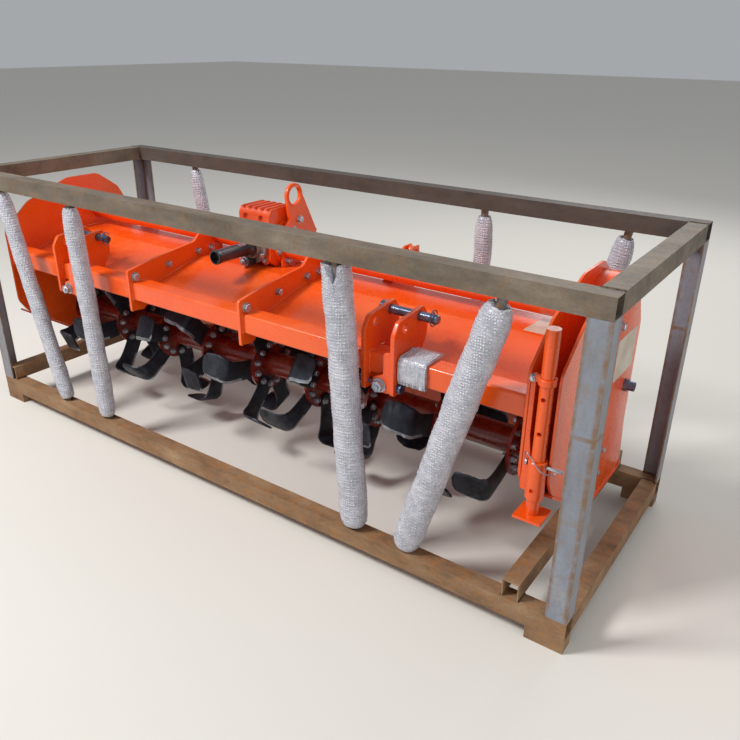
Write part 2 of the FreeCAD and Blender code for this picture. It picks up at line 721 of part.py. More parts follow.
stand_bore = stand_pin_radius + pin_gap
strap_x = right_x + plate_thick + seat_gap
collar = join([
    upright(stand_collar_radius, collar_foot_z, collar_foot_z + stand_collar_long),
    box(strap_x, stand_x, plate_front_y + 2.0, plate_front_y + 12.0, collar_foot_z + 10.0,
        collar_foot_z + stand_collar_long - 10.0),
    box(strap_x, stand_x + stand_collar_radius, stand_y - stand_collar_radius, plate_front_y + 12.0,
        guide_z, guide_z + guide_thick),
    box(strap_x, strap_x + guide_thick, plate_front_y + 2.0, plate_front_y + 12.0,
        collar_foot_z + 10.0, guide_z + guide_thick)])
collar = collar.cut(upright(leg_radius + pin_gap, collar_foot_z - 1.0, guide_z + 2.0 * guide_thick))
collar = collar.cut(rod(stand_bore, (stand_x, stand_y - 60.0, collar_foot_z + 30.0),
                        (stand_x, stand_y, collar_foot_z + 30.0)))
nodes["stand_collar"] = collar.cut(rod_x(stand_bore, stand_x - 60.0, stand_x + 60.0, stand_y, stand_pin_z))
leg = join([
    upright(leg_radius, stand_foot_z, stand_foot_z + leg_long),
    box(stand_x - stand_foot_wide / 2.0, stand_x + stand_foot_wide / 2.0, stand_y - stand_foot_wide / 2.0,
        stand_y + stand_foot_wide / 2.0, stand_foot_z, stand_foot_z + stand_foot_thick)])
for i in range(3):
    leg = leg.cut(rod_x(stand_bore, stand_x - 60.0, stand_x + 60.0, stand_y, stand_pin_z + i * stand_hole_pitch))
for i in (1, 2):
    z = stand_pin_z + i * front_hole_pitch
    leg = leg.cut(rod(stand_bore, (stand_x, stand_y - 60.0, z), (stand_x, stand_y + 60.0, z)))
nodes["stand_leg"] = leg

# Trailing board: a sheet with a bent lower lip, hung on a rod behind the hood
board_x0, board_x1 = left_x + board_end_gap, right_x - board_end_gap
hinge_pitch = (board_x1 - board_x0 - knuckle_long) / (hinge_count - 1)
knuckle_places = [board_x0 + i * hinge_pitch for i in range(hinge_count)]
board_line = [
    (board_hinge_y + board_thick / 2.0, board_hinge_z - knuckle_radius + 2.0),
    (board_hinge_y + board_thick / 2.0, board_hinge_z - board_length),
    (board_hinge_y + board_thick / 2.0 + board_lip * 0.7, board_hinge_z - board_length - board_lip * 0.7),
]
board_pin_y, board_pin_z = board_hinge_y + stay_offset, board_hinge_z - stay_reach
board_parts = [sheet_yz(board_line, board_thick, board_x0, board_x1)]
for x in knuckle_places:
    board_parts.append(rod_x(knuckle_radius, x, x + knuckle_long, board_hinge_y, board_hinge_z))
lug_half = stay_eye_thick / 2.0 + stay_ear_gap
for x in stay_places:
    for sign in (-1, 1):
        inner = x + sign * lug_half
        board_parts.append(plate_yz([
            (board_hinge_y + 1.0, board_pin_z - 30.0), (board_hinge_y + 1.0, board_pin_z + 30.0),
            (board_pin_y + 10.0, board_pin_z + 12.0), (board_pin_y + 10.0, board_pin_z - 12.0)],
            inner, inner + sign * stay_ear_thick))
    board_parts.append(rod_x(stay_pin_radius, x - lug_half - stay_ear_thick, x + lug_half + stay_ear_thick,
                             board_pin_y, board_pin_z))
board = join(board_parts)
lug_places = []
for x in knuckle_places:
    lug_places += [max(x - lug_gap - lug_thick, left_x + seat_gap),
                   min(x + knuckle_long + lug_gap, right_x - seat_gap - lug_thick)]
for x in lug_places:
    board = board.cut(box(x - lug_gap, x + lug_thick + lug_gap, board_hinge_y - 20.0, board_hinge_y + 20.0,
                          board_hinge_z - knuckle_radius - 8.0, board_hinge_z - knuckle_radius + 4.0))
for x in knuckle_places:
    board = board.cut(rod_x(hinge_radius + pin_gap, x - 1, x + knuckle_long + 1, board_hinge_y, board_hinge_z))
nodes["trailing_board"] = turned(board, board_hinge_y, board_hinge_z, board_angle)

# Hinge rod and the lugs that carry it on the hood's rear edge
hood_end_y, hood_end_z = hood_line[-1]
hinge_lugs = []
for x in lug_places:
    hinge_lugs.append(plate_yz([
        (hood_end_y - 4.0, hood_end_z + 44.0), (hood_end_y + 8.0, hood_end_z + 44.0),
        (board_hinge_y + knuckle_radius, board_hinge_z), (board_hinge_y, board_hinge_z - knuckle_radius),
        (board_hinge_y - knuckle_radius, board_hinge_z), (hood_end_y - 4.0, hood_end_z)], x, x + lug_thick))
hinge_rod = rod_x(hinge_radius, left_x + seat_gap, right_x - seat_gap, board_hinge_y, board_hinge_z)
nodes["board_hinge_rod"] = join([hinge_rod] + hinge_lugs).cut(nodes["hood"])

# Stays: rods with springs, from brackets on the hood to the board's lugs
bracket_parts = []
bracket_step = stay_eye_thick / 2.0 + stay_ear_gap
for x in stay_places:
    for sign in (-1, 1):
        inner = x + sign * bracket_step
        bracket_parts.append(plate_yz([
            (hood_line[2][0] - 20.0, hood_top_z + seat_gap), (stay_y - 30.0, stay_z + 20.0),
            (stay_y + 16.0, stay_z + 20.0), (stay_y + 16.0, stay_z - 18.0),
            (hood_line[3][0] + 0.4, hood_line[3][1] + 1.0), (hood_line[2][0] + 0.4, hood_top_z + seat_gap)],
            inner, inner + sign * stay_ear_thick))
    bracket_parts.append(rod_x(stay_pin_radius, x - bracket_step - stay_ear_thick - 6.0,
                               x + bracket_step + stay_ear_thick + 6.0, stay_y, stay_z))
brackets = []
for i in range(0, len(bracket_parts), 3):
    brackets.append(join(bracket_parts[i:i + 3]))
nodes["stay_brackets"] = group(brackets)

turn = math.radians(board_angle)
rest_pin = V(0, board_hinge_y + stay_offset * math.cos(turn) + stay_reach * math.sin(turn),
             board_hinge_z + stay_offset * math.sin(turn) - stay_reach * math.cos(turn))
stay_top = V(0, stay_y, stay_z)
stay_way = (rest_pin - stay_top).normalize()
stay_length = (rest_pin - stay_top).Length


def stay(x):
    """A rod with an eye at its upper pin and a slotted eye at its lower pin."""
    x0, x1 = x - stay_eye_thick / 2.0, x + stay_eye_thick / 2.0
    start, end = V(x, 0, 0) + stay_top, V(x, 0, 0) + rest_pin
    slot_up, slot_down = end - stay_way * stay_slot, end + stay_way * stay_slot
    parts = [rod_x(stay_eye_radius, x0, x1, p.y, p.z) for p in (start, slot_up, slot_down)]
    across = V(0, stay_way.z, -stay_way.y) * stay_eye_radius
    flat = [slot_up + across, slot_down + across, slot_down - across, slot_up - across]
    parts.append(plate_yz([(p.y, p.z) for p in flat], x0, x1))
    parts.append(Part.makeCylinder(stay_rod_radius, stay_length - stay_slot, start, stay_way))
    whole = join(parts)
    bore = stay_pin_radius + pin_gap
    across = V(0, stay_way.z, -stay_way.y) * bore
    flat = [slot_up + across, slot_down + across, slot_down - across, slot_up - across]
    holes = [rod_x(bore, x0 - 1, x1 + 1, p.y, p.z) for p in (start, slot_up, slot_down)]
    holes.append(plate_yz([(p.y, p.z) for p in flat], x0 - 1, x1 + 1))
    for hole in holes:
        whole = whole.cut(hole)
    return whole


nodes["stay_rods"] = group(stay(x) for x in stay_places)

os.makedirs("parts", exist_ok=True)
for name, shape in nodes.items():
    shape.exportStep("parts/" + name + ".step")
    print("%-22s %3d solids %7.0f cm3 %s" % (name, len(shape.Solids), shape.Volume / 1000.0,
                                             "ok" if shape.isValid() else "NOT VALID"))
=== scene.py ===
import math

import bpy
import numpy as np
from mathutils import Matrix, Vector


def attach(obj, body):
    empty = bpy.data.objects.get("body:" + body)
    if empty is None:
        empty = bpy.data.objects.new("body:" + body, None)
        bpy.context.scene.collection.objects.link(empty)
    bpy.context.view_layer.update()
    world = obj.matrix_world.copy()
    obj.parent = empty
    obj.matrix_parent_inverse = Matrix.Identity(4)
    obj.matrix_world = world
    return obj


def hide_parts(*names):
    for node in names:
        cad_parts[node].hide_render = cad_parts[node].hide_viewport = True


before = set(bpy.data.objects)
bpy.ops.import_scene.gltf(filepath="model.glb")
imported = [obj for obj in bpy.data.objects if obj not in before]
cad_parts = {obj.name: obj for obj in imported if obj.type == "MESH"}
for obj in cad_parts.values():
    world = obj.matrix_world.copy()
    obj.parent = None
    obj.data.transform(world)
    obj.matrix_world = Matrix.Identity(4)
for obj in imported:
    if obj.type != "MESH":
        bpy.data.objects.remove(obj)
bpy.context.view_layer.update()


# Camera and lamps: the photograph's view of the tiller from its front right, with one large
# soft lamp before it and two weak ones
camera_data = bpy.data.cameras.new("camera")
photo_side, focal_pixels = 740.0, 735.3
camera_data.sensor_width = 36.0
camera_data.lens = focal_pixels / photo_side * camera_data.sensor_width
camera = bpy.data.objects.new("camera", camera_data)
yaw, pitch, roll = (math.radians(a) for a in (34.87, -24.60, 0.60))
ahead = Vector((-math.sin(yaw) * math.cos(pitch), math.cos(yaw) * math.cos(pitch), math.sin(pitch)))
level = Vector((math.cos(yaw), math.sin(yaw), 0.0))
upward = level.cross(ahead)
right = level * math.cos(roll) + upward * math.sin(roll)
above = upward * math.cos(roll) - level * math.sin(roll)
facing = Matrix((right, above, -ahead)).transposed().to_4x4()
camera.matrix_world = Matrix.Translation((1.699, -1.920, 1.485)) @ facing
bpy.context.scene.collection.objects.link(camera)
bpy.context.scene.camera = camera
bpy.context.scene.view_settings.view_transform = "Standard"

middle = Vector((0.0, 0.0, 0.45))
for name, place, size, power in (
        ("key", (-2.2, -3.4, 5.0), 1.5, 330.0),
        ("fill", (4.2, -1.6, 2.4), 3.5, 46.0),
        ("back", (0.5, 4.0, 3.2), 3.0, 60.0)):
    lamp = bpy.data.lights.new(name, "AREA")
    lamp.size, lamp.energy = size, power
    holder = bpy.data.objects.new(name, lamp)
    holder.location = place
    holder.rotation_mode = "QUATERNION"
    holder.rotation_quaternion = (middle - Vector(place)).to_track_quat("-Z", "Y")
    bpy.context.scene.collection.objects.link(holder)


# Colours and shader nodes, as every material below uses them
def colour(code):
    """Linear colour of an sRGB hex code. Each channel c is c / 12.92 up to 0.04045, and above
    that ((c + 0.055) / 1.055) to the power 2.4."""
    values = [int(code[i:i + 2], 16) / 255.0 for i in (1, 3, 5)]
    return [c / 12.92 if c <= 0.04045 else ((c + 0.055) / 1.055) ** 2.4 for c in values] + [1.0]


def add(tree, kind, inputs=None, **settings):
    """A shader node. Each input is a value, or another node's output to link to."""
    made = tree.nodes.new(kind)
    for key, value in settings.items():
        setattr(made, key, value)
    for key, value in (inputs or {}).items():
        if isinstance(value, bpy.types.NodeSocket):
            tree.links.new(value, made.inputs[key])
        else:
            made.inputs[key].default_value = value
    return made


def ramp(tree, value, *stops):
    """Colour ramp of a value; each stop is a position and a hex colour."""
    made = add(tree, "ShaderNodeValToRGB", {0: value})
    points = made.color_ramp.elements
    while len(points) < len(stops):
        points.new(0.5)
    for point, (position, code) in zip(points, stops):
        point.position, point.color = position, colour(code)
    return made.outputs[0]


def span(tree, value, low, high, start=0.0, end=1.0):
    """A value stretched from low..high to start..end, and held inside it."""
    return add(tree, "ShaderNodeMapRange", {0: value, 1: low, 2: high, 3: start, 4: end}).outputs[0]


def noise(tree, place, scale, detail=4.0, rough=0.5):
    """Fractal noise in metres of the object, about 0.5."""
    return add(tree, "ShaderNodeTexNoise",
               {"Vector": place, "Scale": scale, "Detail": detail, "Roughness": rough}).outputs[0]


def mixed(tree, factor, a, b):
    """Colour a turning to colour b as the factor goes from 0 to 1."""
    return add(tree, "ShaderNodeMix", {0: factor, 6: a, 7: b}, data_type="RGBA").outputs[2]


def times(tree, a, b):
    """Product of two values."""
    return add(tree, "ShaderNodeMath", {0: a, 1: b}, operation="MULTIPLY").outputs[0]


def larger(tree, a, b):
    """The larger of two values."""
    return add(tree, "ShaderNodeMath", {0: a, 1: b}, operation="MAXIMUM").outputs[0]


def started(name, **sockets):
    """A material with its shader and the place of each point in metres."""
    made = bpy.data.materials.new(name)
    made.use_nodes = True
    shader = made.node_tree.nodes["Principled BSDF"]
    for key, value in sockets.items():
        shader.inputs[key.replace("_", " ")].default_value = value
    place = add(made.node_tree, "ShaderNodeTexCoord").outputs["Object"]
    return made, made.node_tree, shader, place


def reopened(material):
    """The nodes of a material that is ready: tree, shader, base colour so far, and place."""
    tree = material.node_tree
    shader = tree.nodes["Principled BSDF"]
    under = shader.inputs["Base Color"].links[0].from_socket
    return tree, shader, under, add(tree, "ShaderNodeTexCoord").outputs["Object"]


def bump(tree, shader, height, depth, strength=1.0):
    """Bump of a height from 0 to 1 that stands for a depth in metres."""
    made = add(tree, "ShaderNodeBump", {"Height": height, "Distance": depth, "Strength": strength})
    tree.links.new(made.outputs[0], shader.inputs["Normal"])


# Floor and sky: a pale matt floor, and an even, slightly blue light from all round
floor_mesh = bpy.data.meshes.new("floor")
far = 30.0
floor_mesh.from_pydata([(-far, -far, 0), (far, -far, 0), (far, far, 0), (-far, far, 0)], [], [(0, 1, 2, 3)])
floor = bpy.data.objects.new("floor", floor_mesh)
bpy.context.scene.collection.objects.link(floor)
pale, tree, shader, place = started("pale floor", Roughness=0.9, Specular_IOR_Level=0.1)
shader.inputs["Base Color"].default_value = colour("#dcd8d0")
floor_mesh.materials.append(pale)

world = bpy.data.worlds.new("studio")
bpy.context.scene.world = world
world.use_nodes = True
world.node_tree.nodes["Background"].inputs[0].default_value = colour("#e9edf2")
world.node_tree.nodes["Background"].inputs[1].default_value = 0.46


# Pieces as meshes: each is built from points in metres and rides on a body.
# Solids are round profiles, bars along a path, and plates with rounded edges
def piece(name, made, *materials, body="frame", slot=None, crease=35.0, pick=None):
    """An object of points and faces, smooth but for edges sharper than the crease angle. pick
    gives each face its number in the materials."""
    points, faces = made
    mesh = bpy.data.meshes.new(name)
    mesh.from_pydata([tuple(p) for p in points], [], [tuple(f) for f in faces])
    for material in materials:
        mesh.materials.append(material)
    if pick is not None:
        mesh.polygons.foreach_set("material_index", np.asarray(pick, dtype=np.int32))
    mesh.polygons.foreach_set("use_smooth", np.ones(len(mesh.polygons), dtype=bool))
    mesh.set_sharp_from_angle(angle=math.radians(crease))
    mesh.update()
    shown = bpy.data.objects.new(name, mesh)
    bpy.context.scene.collection.objects.link(shown)
    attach(shown, body)
    return shown


def wear(material, *names):
    """The construction's own pieces of these names, shown in a material."""
    for name in names:
        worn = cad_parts[name].data.materials
        worn.clear()
        worn.append(material)


def together(parts):
    """Several sets of points and faces as one."""
    points, faces, start = [], [], 0
    for part_points, part_faces in parts:
        points.append(np.asarray(part_points, dtype=float))
        faces += [tuple(i + start for i in face) for face in part_faces]
        start += len(part_points)
    return np.vstack(points), faces


def skin(rows, count, closed=False):
    """Faces over rows of points, each row a ring of count points. Closed joins the last row to
    the first."""
    faces = []
    for i in range(rows if closed else rows - 1):
        j = (i + 1) % rows
        for k in range(count):
            m = (k + 1) % count
            faces.append((i * count + k, i * count + m, j * count + m, j * count + k))
    return faces


def flipped(faces):
    """The same faces, looking the other way."""
    return [face[::-1] for face in faces]


def turned(made, origin, axis, spin=0.0):
    """A part built about +Z, set at an origin with its Z along the axis."""
    z = np.array(axis, dtype=float)
    z /= np.linalg.norm(z)
    x = np.cross((0.0, 0.0, 1.0) if abs(z[2]) < 0.9 else (0.0, 1.0, 0.0), z)
    x /= np.linalg.norm(x)
    y = np.cross(z, x)
    c, s = math.cos(spin), math.sin(spin)
    return np.asarray(made[0]) @ np.array([x * c + y * s, y * c - x * s, z]) + np.array(origin), made[1]


def lathe(profile, sides=24):
    """A solid about +Z from its profile of (radius, height), from the axis to the axis."""
    angles = np.arange(sides) * 2.0 * np.pi / sides
    points = [(0.0, 0.0, profile[0][1])]
    for radius, height in profile[1:-1]:
        points += [(radius * math.cos(a), radius * math.sin(a), height) for a in angles]
    points.append((0.0, 0.0, profile[-1][1]))
    faces, rings = [], len(profile) - 2
    for i in range(sides):
        j = (i + 1) % sides
        faces.append((0, 1 + j, 1 + i))
        for k in range(rings - 1):
            a, b = 1 + k * sides, 1 + (k + 1) * sides
            faces.append((a + i, a + j, b + j, b + i))
        last = 1 + (rings - 1) * sides
        faces.append((len(points) - 1, last + i, last + j))
    return np.array(points), faces


def bolt(across, head, stem=0.0):
    """A hexagon head on a washer that stands on z = 0, with a stem of thread out of its top. The
    washer is 0.22 as high as the head and 1.22 times as wide as its corners."""
    r = across / math.sqrt(3.0)
    washer, top = head * 0.22, head * 1.22
    parts = [lathe([(0, 0), (r * 1.22, 0), (r * 1.22, washer), (0, washer)], 28),
             lathe([(0, washer), (r, washer), (r, head * 1.08), (r * 0.86, top), (0, top)], 6)]
    if stem:
        parts.append(lathe([(0, head), (r * 0.52, head), (r * 0.52, top + stem * 0.85),
                            (r * 0.42, top + stem), (0, top + stem)], 16))
    return together(parts)


def tube(path, radius, sides=10, closed=False):
    """A round bar along a path. Each ring is square to the path, and its first spoke is carried
    on from the ring before, so the bar doesn't twist."""
    path = np.asarray(path, dtype=float)
    count = len(path)
    radius = np.broadcast_to(radius, (count,))
    if closed:
        way = np.roll(path, -1, axis=0) - np.roll(path, 1, axis=0)
    else:
        way = np.gradient(path, axis=0)
    way /= np.linalg.norm(way, axis=1)[:, None]
    spoke = np.cross(way[0], (0.0, 0.0, 1.0) if abs(way[0][2]) < 0.9 else (0.0, 1.0, 0.0))
    rings = []
    for i in range(count):
        spoke = spoke - way[i] * spoke.dot(way[i])
        spoke /= np.linalg.norm(spoke)
        other = np.cross(way[i], spoke)
        for k in range(sides):
            a = 2.0 * np.pi * k / sides
            rings.append(path[i] + radius[i] * (math.cos(a) * spoke + math.sin(a) * other))
    faces = skin(count, sides, closed)
    if not closed:
        faces.append(tuple(range(sides))[::-1])
        faces.append(tuple(range((count - 1) * sides, count * sides)))
    return np.array(rings), faces


def bead(path, radius=0.0035, closed=False, seed=0):
    """A weld bead: a bar whose radius goes up and down by a fifth every 5 mm, and wanders."""
    path = np.asarray(path, dtype=float)
    if closed:
        path = np.vstack([path, path[:1]])
    ripple_long = 0.005
    steps = np.concatenate([[0.0], np.cumsum(np.linalg.norm(np.diff(path, axis=0), axis=1))])
    count = max(4, int(steps[-1] / (ripple_long / 2.0)))
    at = np.linspace(0.0, steps[-1], count, endpoint=not closed)
    fine = np.array([np.interp(at, steps, path[:, i]) for i in range(3)]).T
    draw = np.random.default_rng(seed)
    wander = np.convolve(draw.normal(0.0, 1.0, count + 8), np.ones(9) / 9.0, "valid")
    ripple = 1.0 + 0.2 * np.sin(2.0 * np.pi * at / ripple_long) + 0.25 * wander
    return tube(fine, radius * ripple, 8, closed)


def plate(outline, holes, x0, x1, edge=0.0012):
    """A plate square to X with rounded edges: an outline of (y, z) corners, and holes that are
    (y, z, radius) or lists of corners. A flat curve is filled, thickened and turned upright."""
    curve = bpy.data.curves.new("outline", "CURVE")
    curve.dimensions, curve.fill_mode = "2D", "BOTH"
    curve.extrude = abs(x1 - x0) / 2.0 - edge
    curve.bevel_depth, curve.offset, curve.bevel_resolution = edge, -edge, 2
    loops = [list(outline)]
    for hole in holes:
        if isinstance(hole, tuple):
            y, z, r = hole
            turn = np.linspace(0, 2 * np.pi, 33)[:-1]
            loops.append([(y + r * math.cos(a), z + r * math.sin(a)) for a in turn])
        else:
            loops.append(hole)
    for corners in loops:
        spline = curve.splines.new("POLY")
        spline.points.add(len(corners) - 1)
        for point, (y, z) in zip(spline.points, corners):
            point.co = (y, z, 0.0, 1.0)
        spline.use_cyclic_u = True
    holder = bpy.data.objects.new("outline", curve)
    mesh = bpy.data.meshes.new_from_object(holder)
    flat = np.array([v.co for v in mesh.vertices])
    faces = [tuple(p.vertices) for p in mesh.polygons]
    bpy.data.objects.remove(holder)
    bpy.data.meshes.remove(mesh)
    return np.stack([(x0 + x1) / 2.0 + flat[:, 2], flat[:, 0], flat[:, 1]], axis=1), faces


def upright_plate(outline, y0, y1, edge=0.001):
    """A plate square to Y from (x, z) corners, with rounded edges."""
    points, faces = plate(outline, [], y0, y1, edge)
    return points[:, [1, 0, 2]], flipped(faces)


def smoothed(corners, radius, steps=6):
    """An outline whose corners are rounded. Each round is the curve
    (1 - t)^2 a + 2 t (1 - t) corner + t^2 b between points a and b on its two sides."""
    corners = [np.array(c, dtype=float) for c in corners]
    out = []
    for i, corner in enumerate(corners):
        before, after = corners[i - 1] - corner, corners[(i + 1) % len(corners)] - corner
        reach = min(radius, 0.45 * np.linalg.norm(before), 0.45 * np.linalg.norm(after))
        a = corner + before / np.linalg.norm(before) * reach
        b = corner + after / np.linalg.norm(after) * reach
        for t in np.linspace(0.0, 1.0, steps):
            out.append(tuple((1 - t) ** 2 * a + 2 * t * (1 - t) * corner + t ** 2 * b))
    return out


# Steel of the transport frame: bare tube that has rusted where it lies, grey-brown mill scale
# on the top rails, and bluish primer on the posts, brown along its edges and at one band
half_long, half_deep, base_top, rail_under, rail_top = 1.290, 0.435, 0.100, 0.935, 0.990


def rusty(name, stops, specks, streak=(2.5, 6.0, 6.0), fleck=0.6, rough=0.75):
    """Steel whose colour follows cloudy noise, a little drawn out along the bar, with rust."""
    made, tree, shader, place = started(name, Roughness=rough, Metallic=0.15)
    long_way = add(tree, "ShaderNodeMapping", {"Vector": place, "Scale": streak}).outputs[0]
    clouds = noise(tree, long_way, 1.6, 12.0, 0.72)
    fine = noise(tree, place, 90.0, 8.0, 0.7)
    spots = noise(tree, place, 23.0, 9.0, 0.75)
    tone = ramp(tree, clouds, *stops)
    tone = mixed(tree, times(tree, span(tree, spots, 0.5, 0.62), fleck), tone, colour(specks))
    tone = mixed(tree, span(tree, fine, 0.35, 0.75, 0.0, 0.45), tone, colour(stops[0][1]))
    tree.links.new(tone, shader.inputs["Base Color"])
    tree.links.new(span(tree, fine, 0.3, 0.7, rough + 0.12, rough - 0.15), shader.inputs["Roughness"])
    bump(tree, shader, fine, 0.0006, 0.6)
    return made


base_rust = rusty("rusted steel", ((0.30, "#5d4633"), (0.44, "#8a6a4c"), (0.56, "#a07f5e"), (0.70, "#b79a78")),
                  "#b0733a")
mill_scale = rusty("mill scale steel",
                   ((0.30, "#4e4439"), (0.45, "#6b6053"), (0.58, "#7f7263"), (0.72, "#958877")),
                   "#8a6842", fleck=0.5, rough=0.6)
# Painted shade: the rear top rail is mixed most of the way to near-black, as though it lay in shadow
tree, shader, under, place = reopened(mill_scale)
place_y = add(tree, "ShaderNodeSeparateXYZ", {0: place}).outputs[1]
rear = span(tree, place_y, half_deep - 0.059, half_deep - 0.056, 0.0, 0.62)
tree.links.new(mixed(tree, rear, under, colour("#2b2729")), shader.inputs["Base Color"])
primer = rusty("scuffed primer steel",
               ((0.30, "#70727a"), (0.46, "#878a93"), (0.60, "#8f95a1"), (0.74, "#a7a5a2")),
               "#8d7358", streak=(6.0, 6.0, 2.0), fleck=0.45, rough=0.5)
tree, shader, under, place = reopened(primer)
split = add(tree, "ShaderNodeSeparateXYZ", {0: place}).outputs
far_x, far_y = (add(tree, "ShaderNodeMath", {0: split[i]}, operation="ABSOLUTE").outputs[0] for i in (0, 1))
corner = times(tree, span(tree, far_x, half_long - 0.014, half_long - 0.006),
               span(tree, far_y, half_deep - 0.014, half_deep - 0.006))
lip = larger(tree, span(tree, far_x, half_long - 0.049, half_long - 0.056),
             span(tree, far_y, half_deep - 0.049, half_deep - 0.056))
band_z = 0.642
band = times(tree, span(tree, split[2], band_z - 0.008, band_z - 0.004),
             span(tree, split[2], band_z + 0.008, band_z + 0.004))
edges = larger(tree, larger(tree, corner, lip), band)
patchy = times(tree, edges, span(tree, noise(tree, place, 30.0, 8.0, 0.7), 0.3, 0.6))
tree.links.new(mixed(tree, patchy, under, colour("#7f6247")), shader.inputs["Base Color"])
wear(base_rust, "crate_base_rails", "crate_feet", "crate_bearers")
wear(mill_scale, "crate_top_rails")
wear(primer, "crate_posts", "crate_braces")

# Weld beads of the frame: where posts stand on the rails, where rails meet at the corners,
# round the ends of the braces and along the bearers
leg, thick, rail_wide, base_wide, base_under = 0.060, 0.005, 0.055, 0.050, 0.040
beads = []
for ex in (-1, 1):
    for sy in (-1, 1):
        x, y = ex * half_long, sy * half_deep
        for z in (base_top + 0.001, rail_under - 0.001):
            beads.append(bead([(x - ex * leg, y - sy * thick, z), (x - ex * thick, y - sy * thick, z),
                               (x - ex * thick, y - sy * leg, z)], seed=len(beads)))
        x_in, y_in = x - ex * rail_wide, y - sy * rail_wide
        beads.append(bead([(x_in, y_in, rail_under), (x_in, y_in, rail_top)], seed=len(beads)))
        beads.append(bead([(x, y_in, rail_top), (x_in, y_in, rail_top)], 0.003, seed=len(beads)))
        if ex > 0:
            x_in, y_in = x - base_wide, y - sy * base_wide
            beads.append(bead([(x, y_in, base_top), (x_in, y_in, base_top), (x_in, y_in, base_under)],
                              0.003, seed=len(beads)))

# The columns are x at the top, x at the foot, side of the frame, size of the wrap and its notch
braces = ((-1.085, -0.865, -1, 0.78, 0.0), (-0.645, -0.608, -1, 0.85, 0.0), (0.530, 0.597, -1, 1.08, 0.055),
          (1.025, 0.776, -1, 1.06, 0.0), (-0.900, -0.760, 1, 0.78, 0.0), (0.557, 0.566, 1, 0.78, 0.0),
          (1.060, 0.900, 1, 0.85, 0.0))
brace_y, brace_radius = 0.410, 0.0135
for top, foot, side, _, _ in braces:
    y = side * brace_y
    slope = (top - foot) / (rail_under - base_top)
    for x, z in ((foot, base_top + 0.001), (top, rail_under - 0.001)):
        ring = [(x + brace_radius * math.cos(a) * math.sqrt(1 + slope ** 2), y + brace_radius * math.sin(a), z)
                for a in np.linspace(0, 2 * np.pi, 25)[:-1]]
        beads.append(bead(ring, 0.0035, True, len(beads)))
for x in (-1.261, -1.211, 1.101, 1.151):
    for side in (-1, 1):
        ends = [(x, side * y, base_top + 0.001) for y in (0.386, 0.429)]
        beads.append(bead(ends, seed=len(beads)))
weld_grey, tree, shader, place = started("weld bead", Metallic=0.5, Roughness=0.5)
tone = ramp(tree, noise(tree, place, 60.0, 6.0), (0.35, "#3d3026"), (0.6, "#6f5b47"))
tree.links.new(tone, shader.inputs["Base Color"])
piece("frame_welds", together(beads), weld_grey, slot="mill_steel")


# Bubble wrap wound round the braces in a thick, slightly flattened sleeve, drawn in at its ends
# but for one whose top is torn open
def sleeve(row, seed):
    """A wound sleeve along a brace. With u along it and v round it, the radius is a size times
    41 mm across the frame's side and 36 mm through it, less a third at the ends, plus rows of
    bubbles every 10.5 mm, the turns of the winding every 105 mm and slow creases. Its top edge is
    ragged, and falls by the notch towards v = 3.4, in a straight V 0.6 rad to each side."""
    top, foot, side, size, notch = row
    turn_long, bubble_pitch = 0.105, 0.0105
    a = np.array([foot, side * brace_y, base_top])
    b = np.array([top, side * brace_y, rail_under])
    long = np.linalg.norm(b - a)
    way = (b - a) / long
    across = np.array([0.0, 1.0, 0.0])
    other = np.cross(way, across)
    draw = np.random.default_rng(seed)
    start, end = 0.010, long - (0.006 if notch else draw.uniform(0.012, 0.028))
    u = np.linspace(start, end, 320)
    v = np.linspace(0.0, 2.0 * np.pi, 45)[:-1]
    uu, vv = np.meshgrid(u, v, indexing="ij")
    drawn = 0.06 if notch else 0.34
    radius = 1.0 - 0.26 * np.exp(-(uu - start) / 0.014) - drawn * np.exp(-(end - uu) / 0.02)
    turn = (uu / turn_long + vv / (2.0 * np.pi)) % 1.0
    radius += 0.035 * (1.0 - turn) ** 3
    radius += 0.030 * np.sin(2.0 * np.pi * uu / bubble_pitch) * (0.7 + 0.3 * np.cos(11.0 * vv + uu * 300.0))
    for k in range(8):
        f, g, p = draw.uniform(8.0, 60.0), draw.integers(1, 5), draw.uniform(0.0, 6.28)
        radius += 0.011 * np.sin(f * uu + g * vv + p)
    shift = 0.002 * np.sin(uu * 5.0 + draw.uniform(0, 6.28))
    fall = notch * np.clip(1.0 - np.abs(v - 3.4) / 0.6, 0.0, 1.0)
    fall += 0.0015 * np.abs(np.sin(9.0 * v) + np.sin(4.0 * v))
    up = uu - fall * np.clip((uu - end + 0.1) / 0.1, 0.0, 1.0)
    points = (a + up[..., None] * way + (0.036 * size * radius * np.cos(vv) + shift)[..., None] * across
              + (0.041 * size * radius * np.sin(vv))[..., None] * other)
    n, m = points.shape[:2]
    faces, inner = skin(n, m), []
    for i, at in ((0, start + 0.004), (n - 1, end - 0.006)):
        spokes = (brace_radius + 0.0001) * (np.cos(v)[:, None] * across + np.sin(v)[:, None] * other)
        ring = [a + (at - (drop if i else 0.0)) * way + spoke for drop, spoke in zip(fall, spokes)]
        base = n * m + len(inner)
        inner += ring
        for j in range(m):
            face = (i * m + j, i * m + (j + 1) % m, base + (j + 1) % m, base + j)
            faces.append(face if i else face[::-1])
    return np.vstack([points.reshape(-1, 3), np.array(inner)]), faces


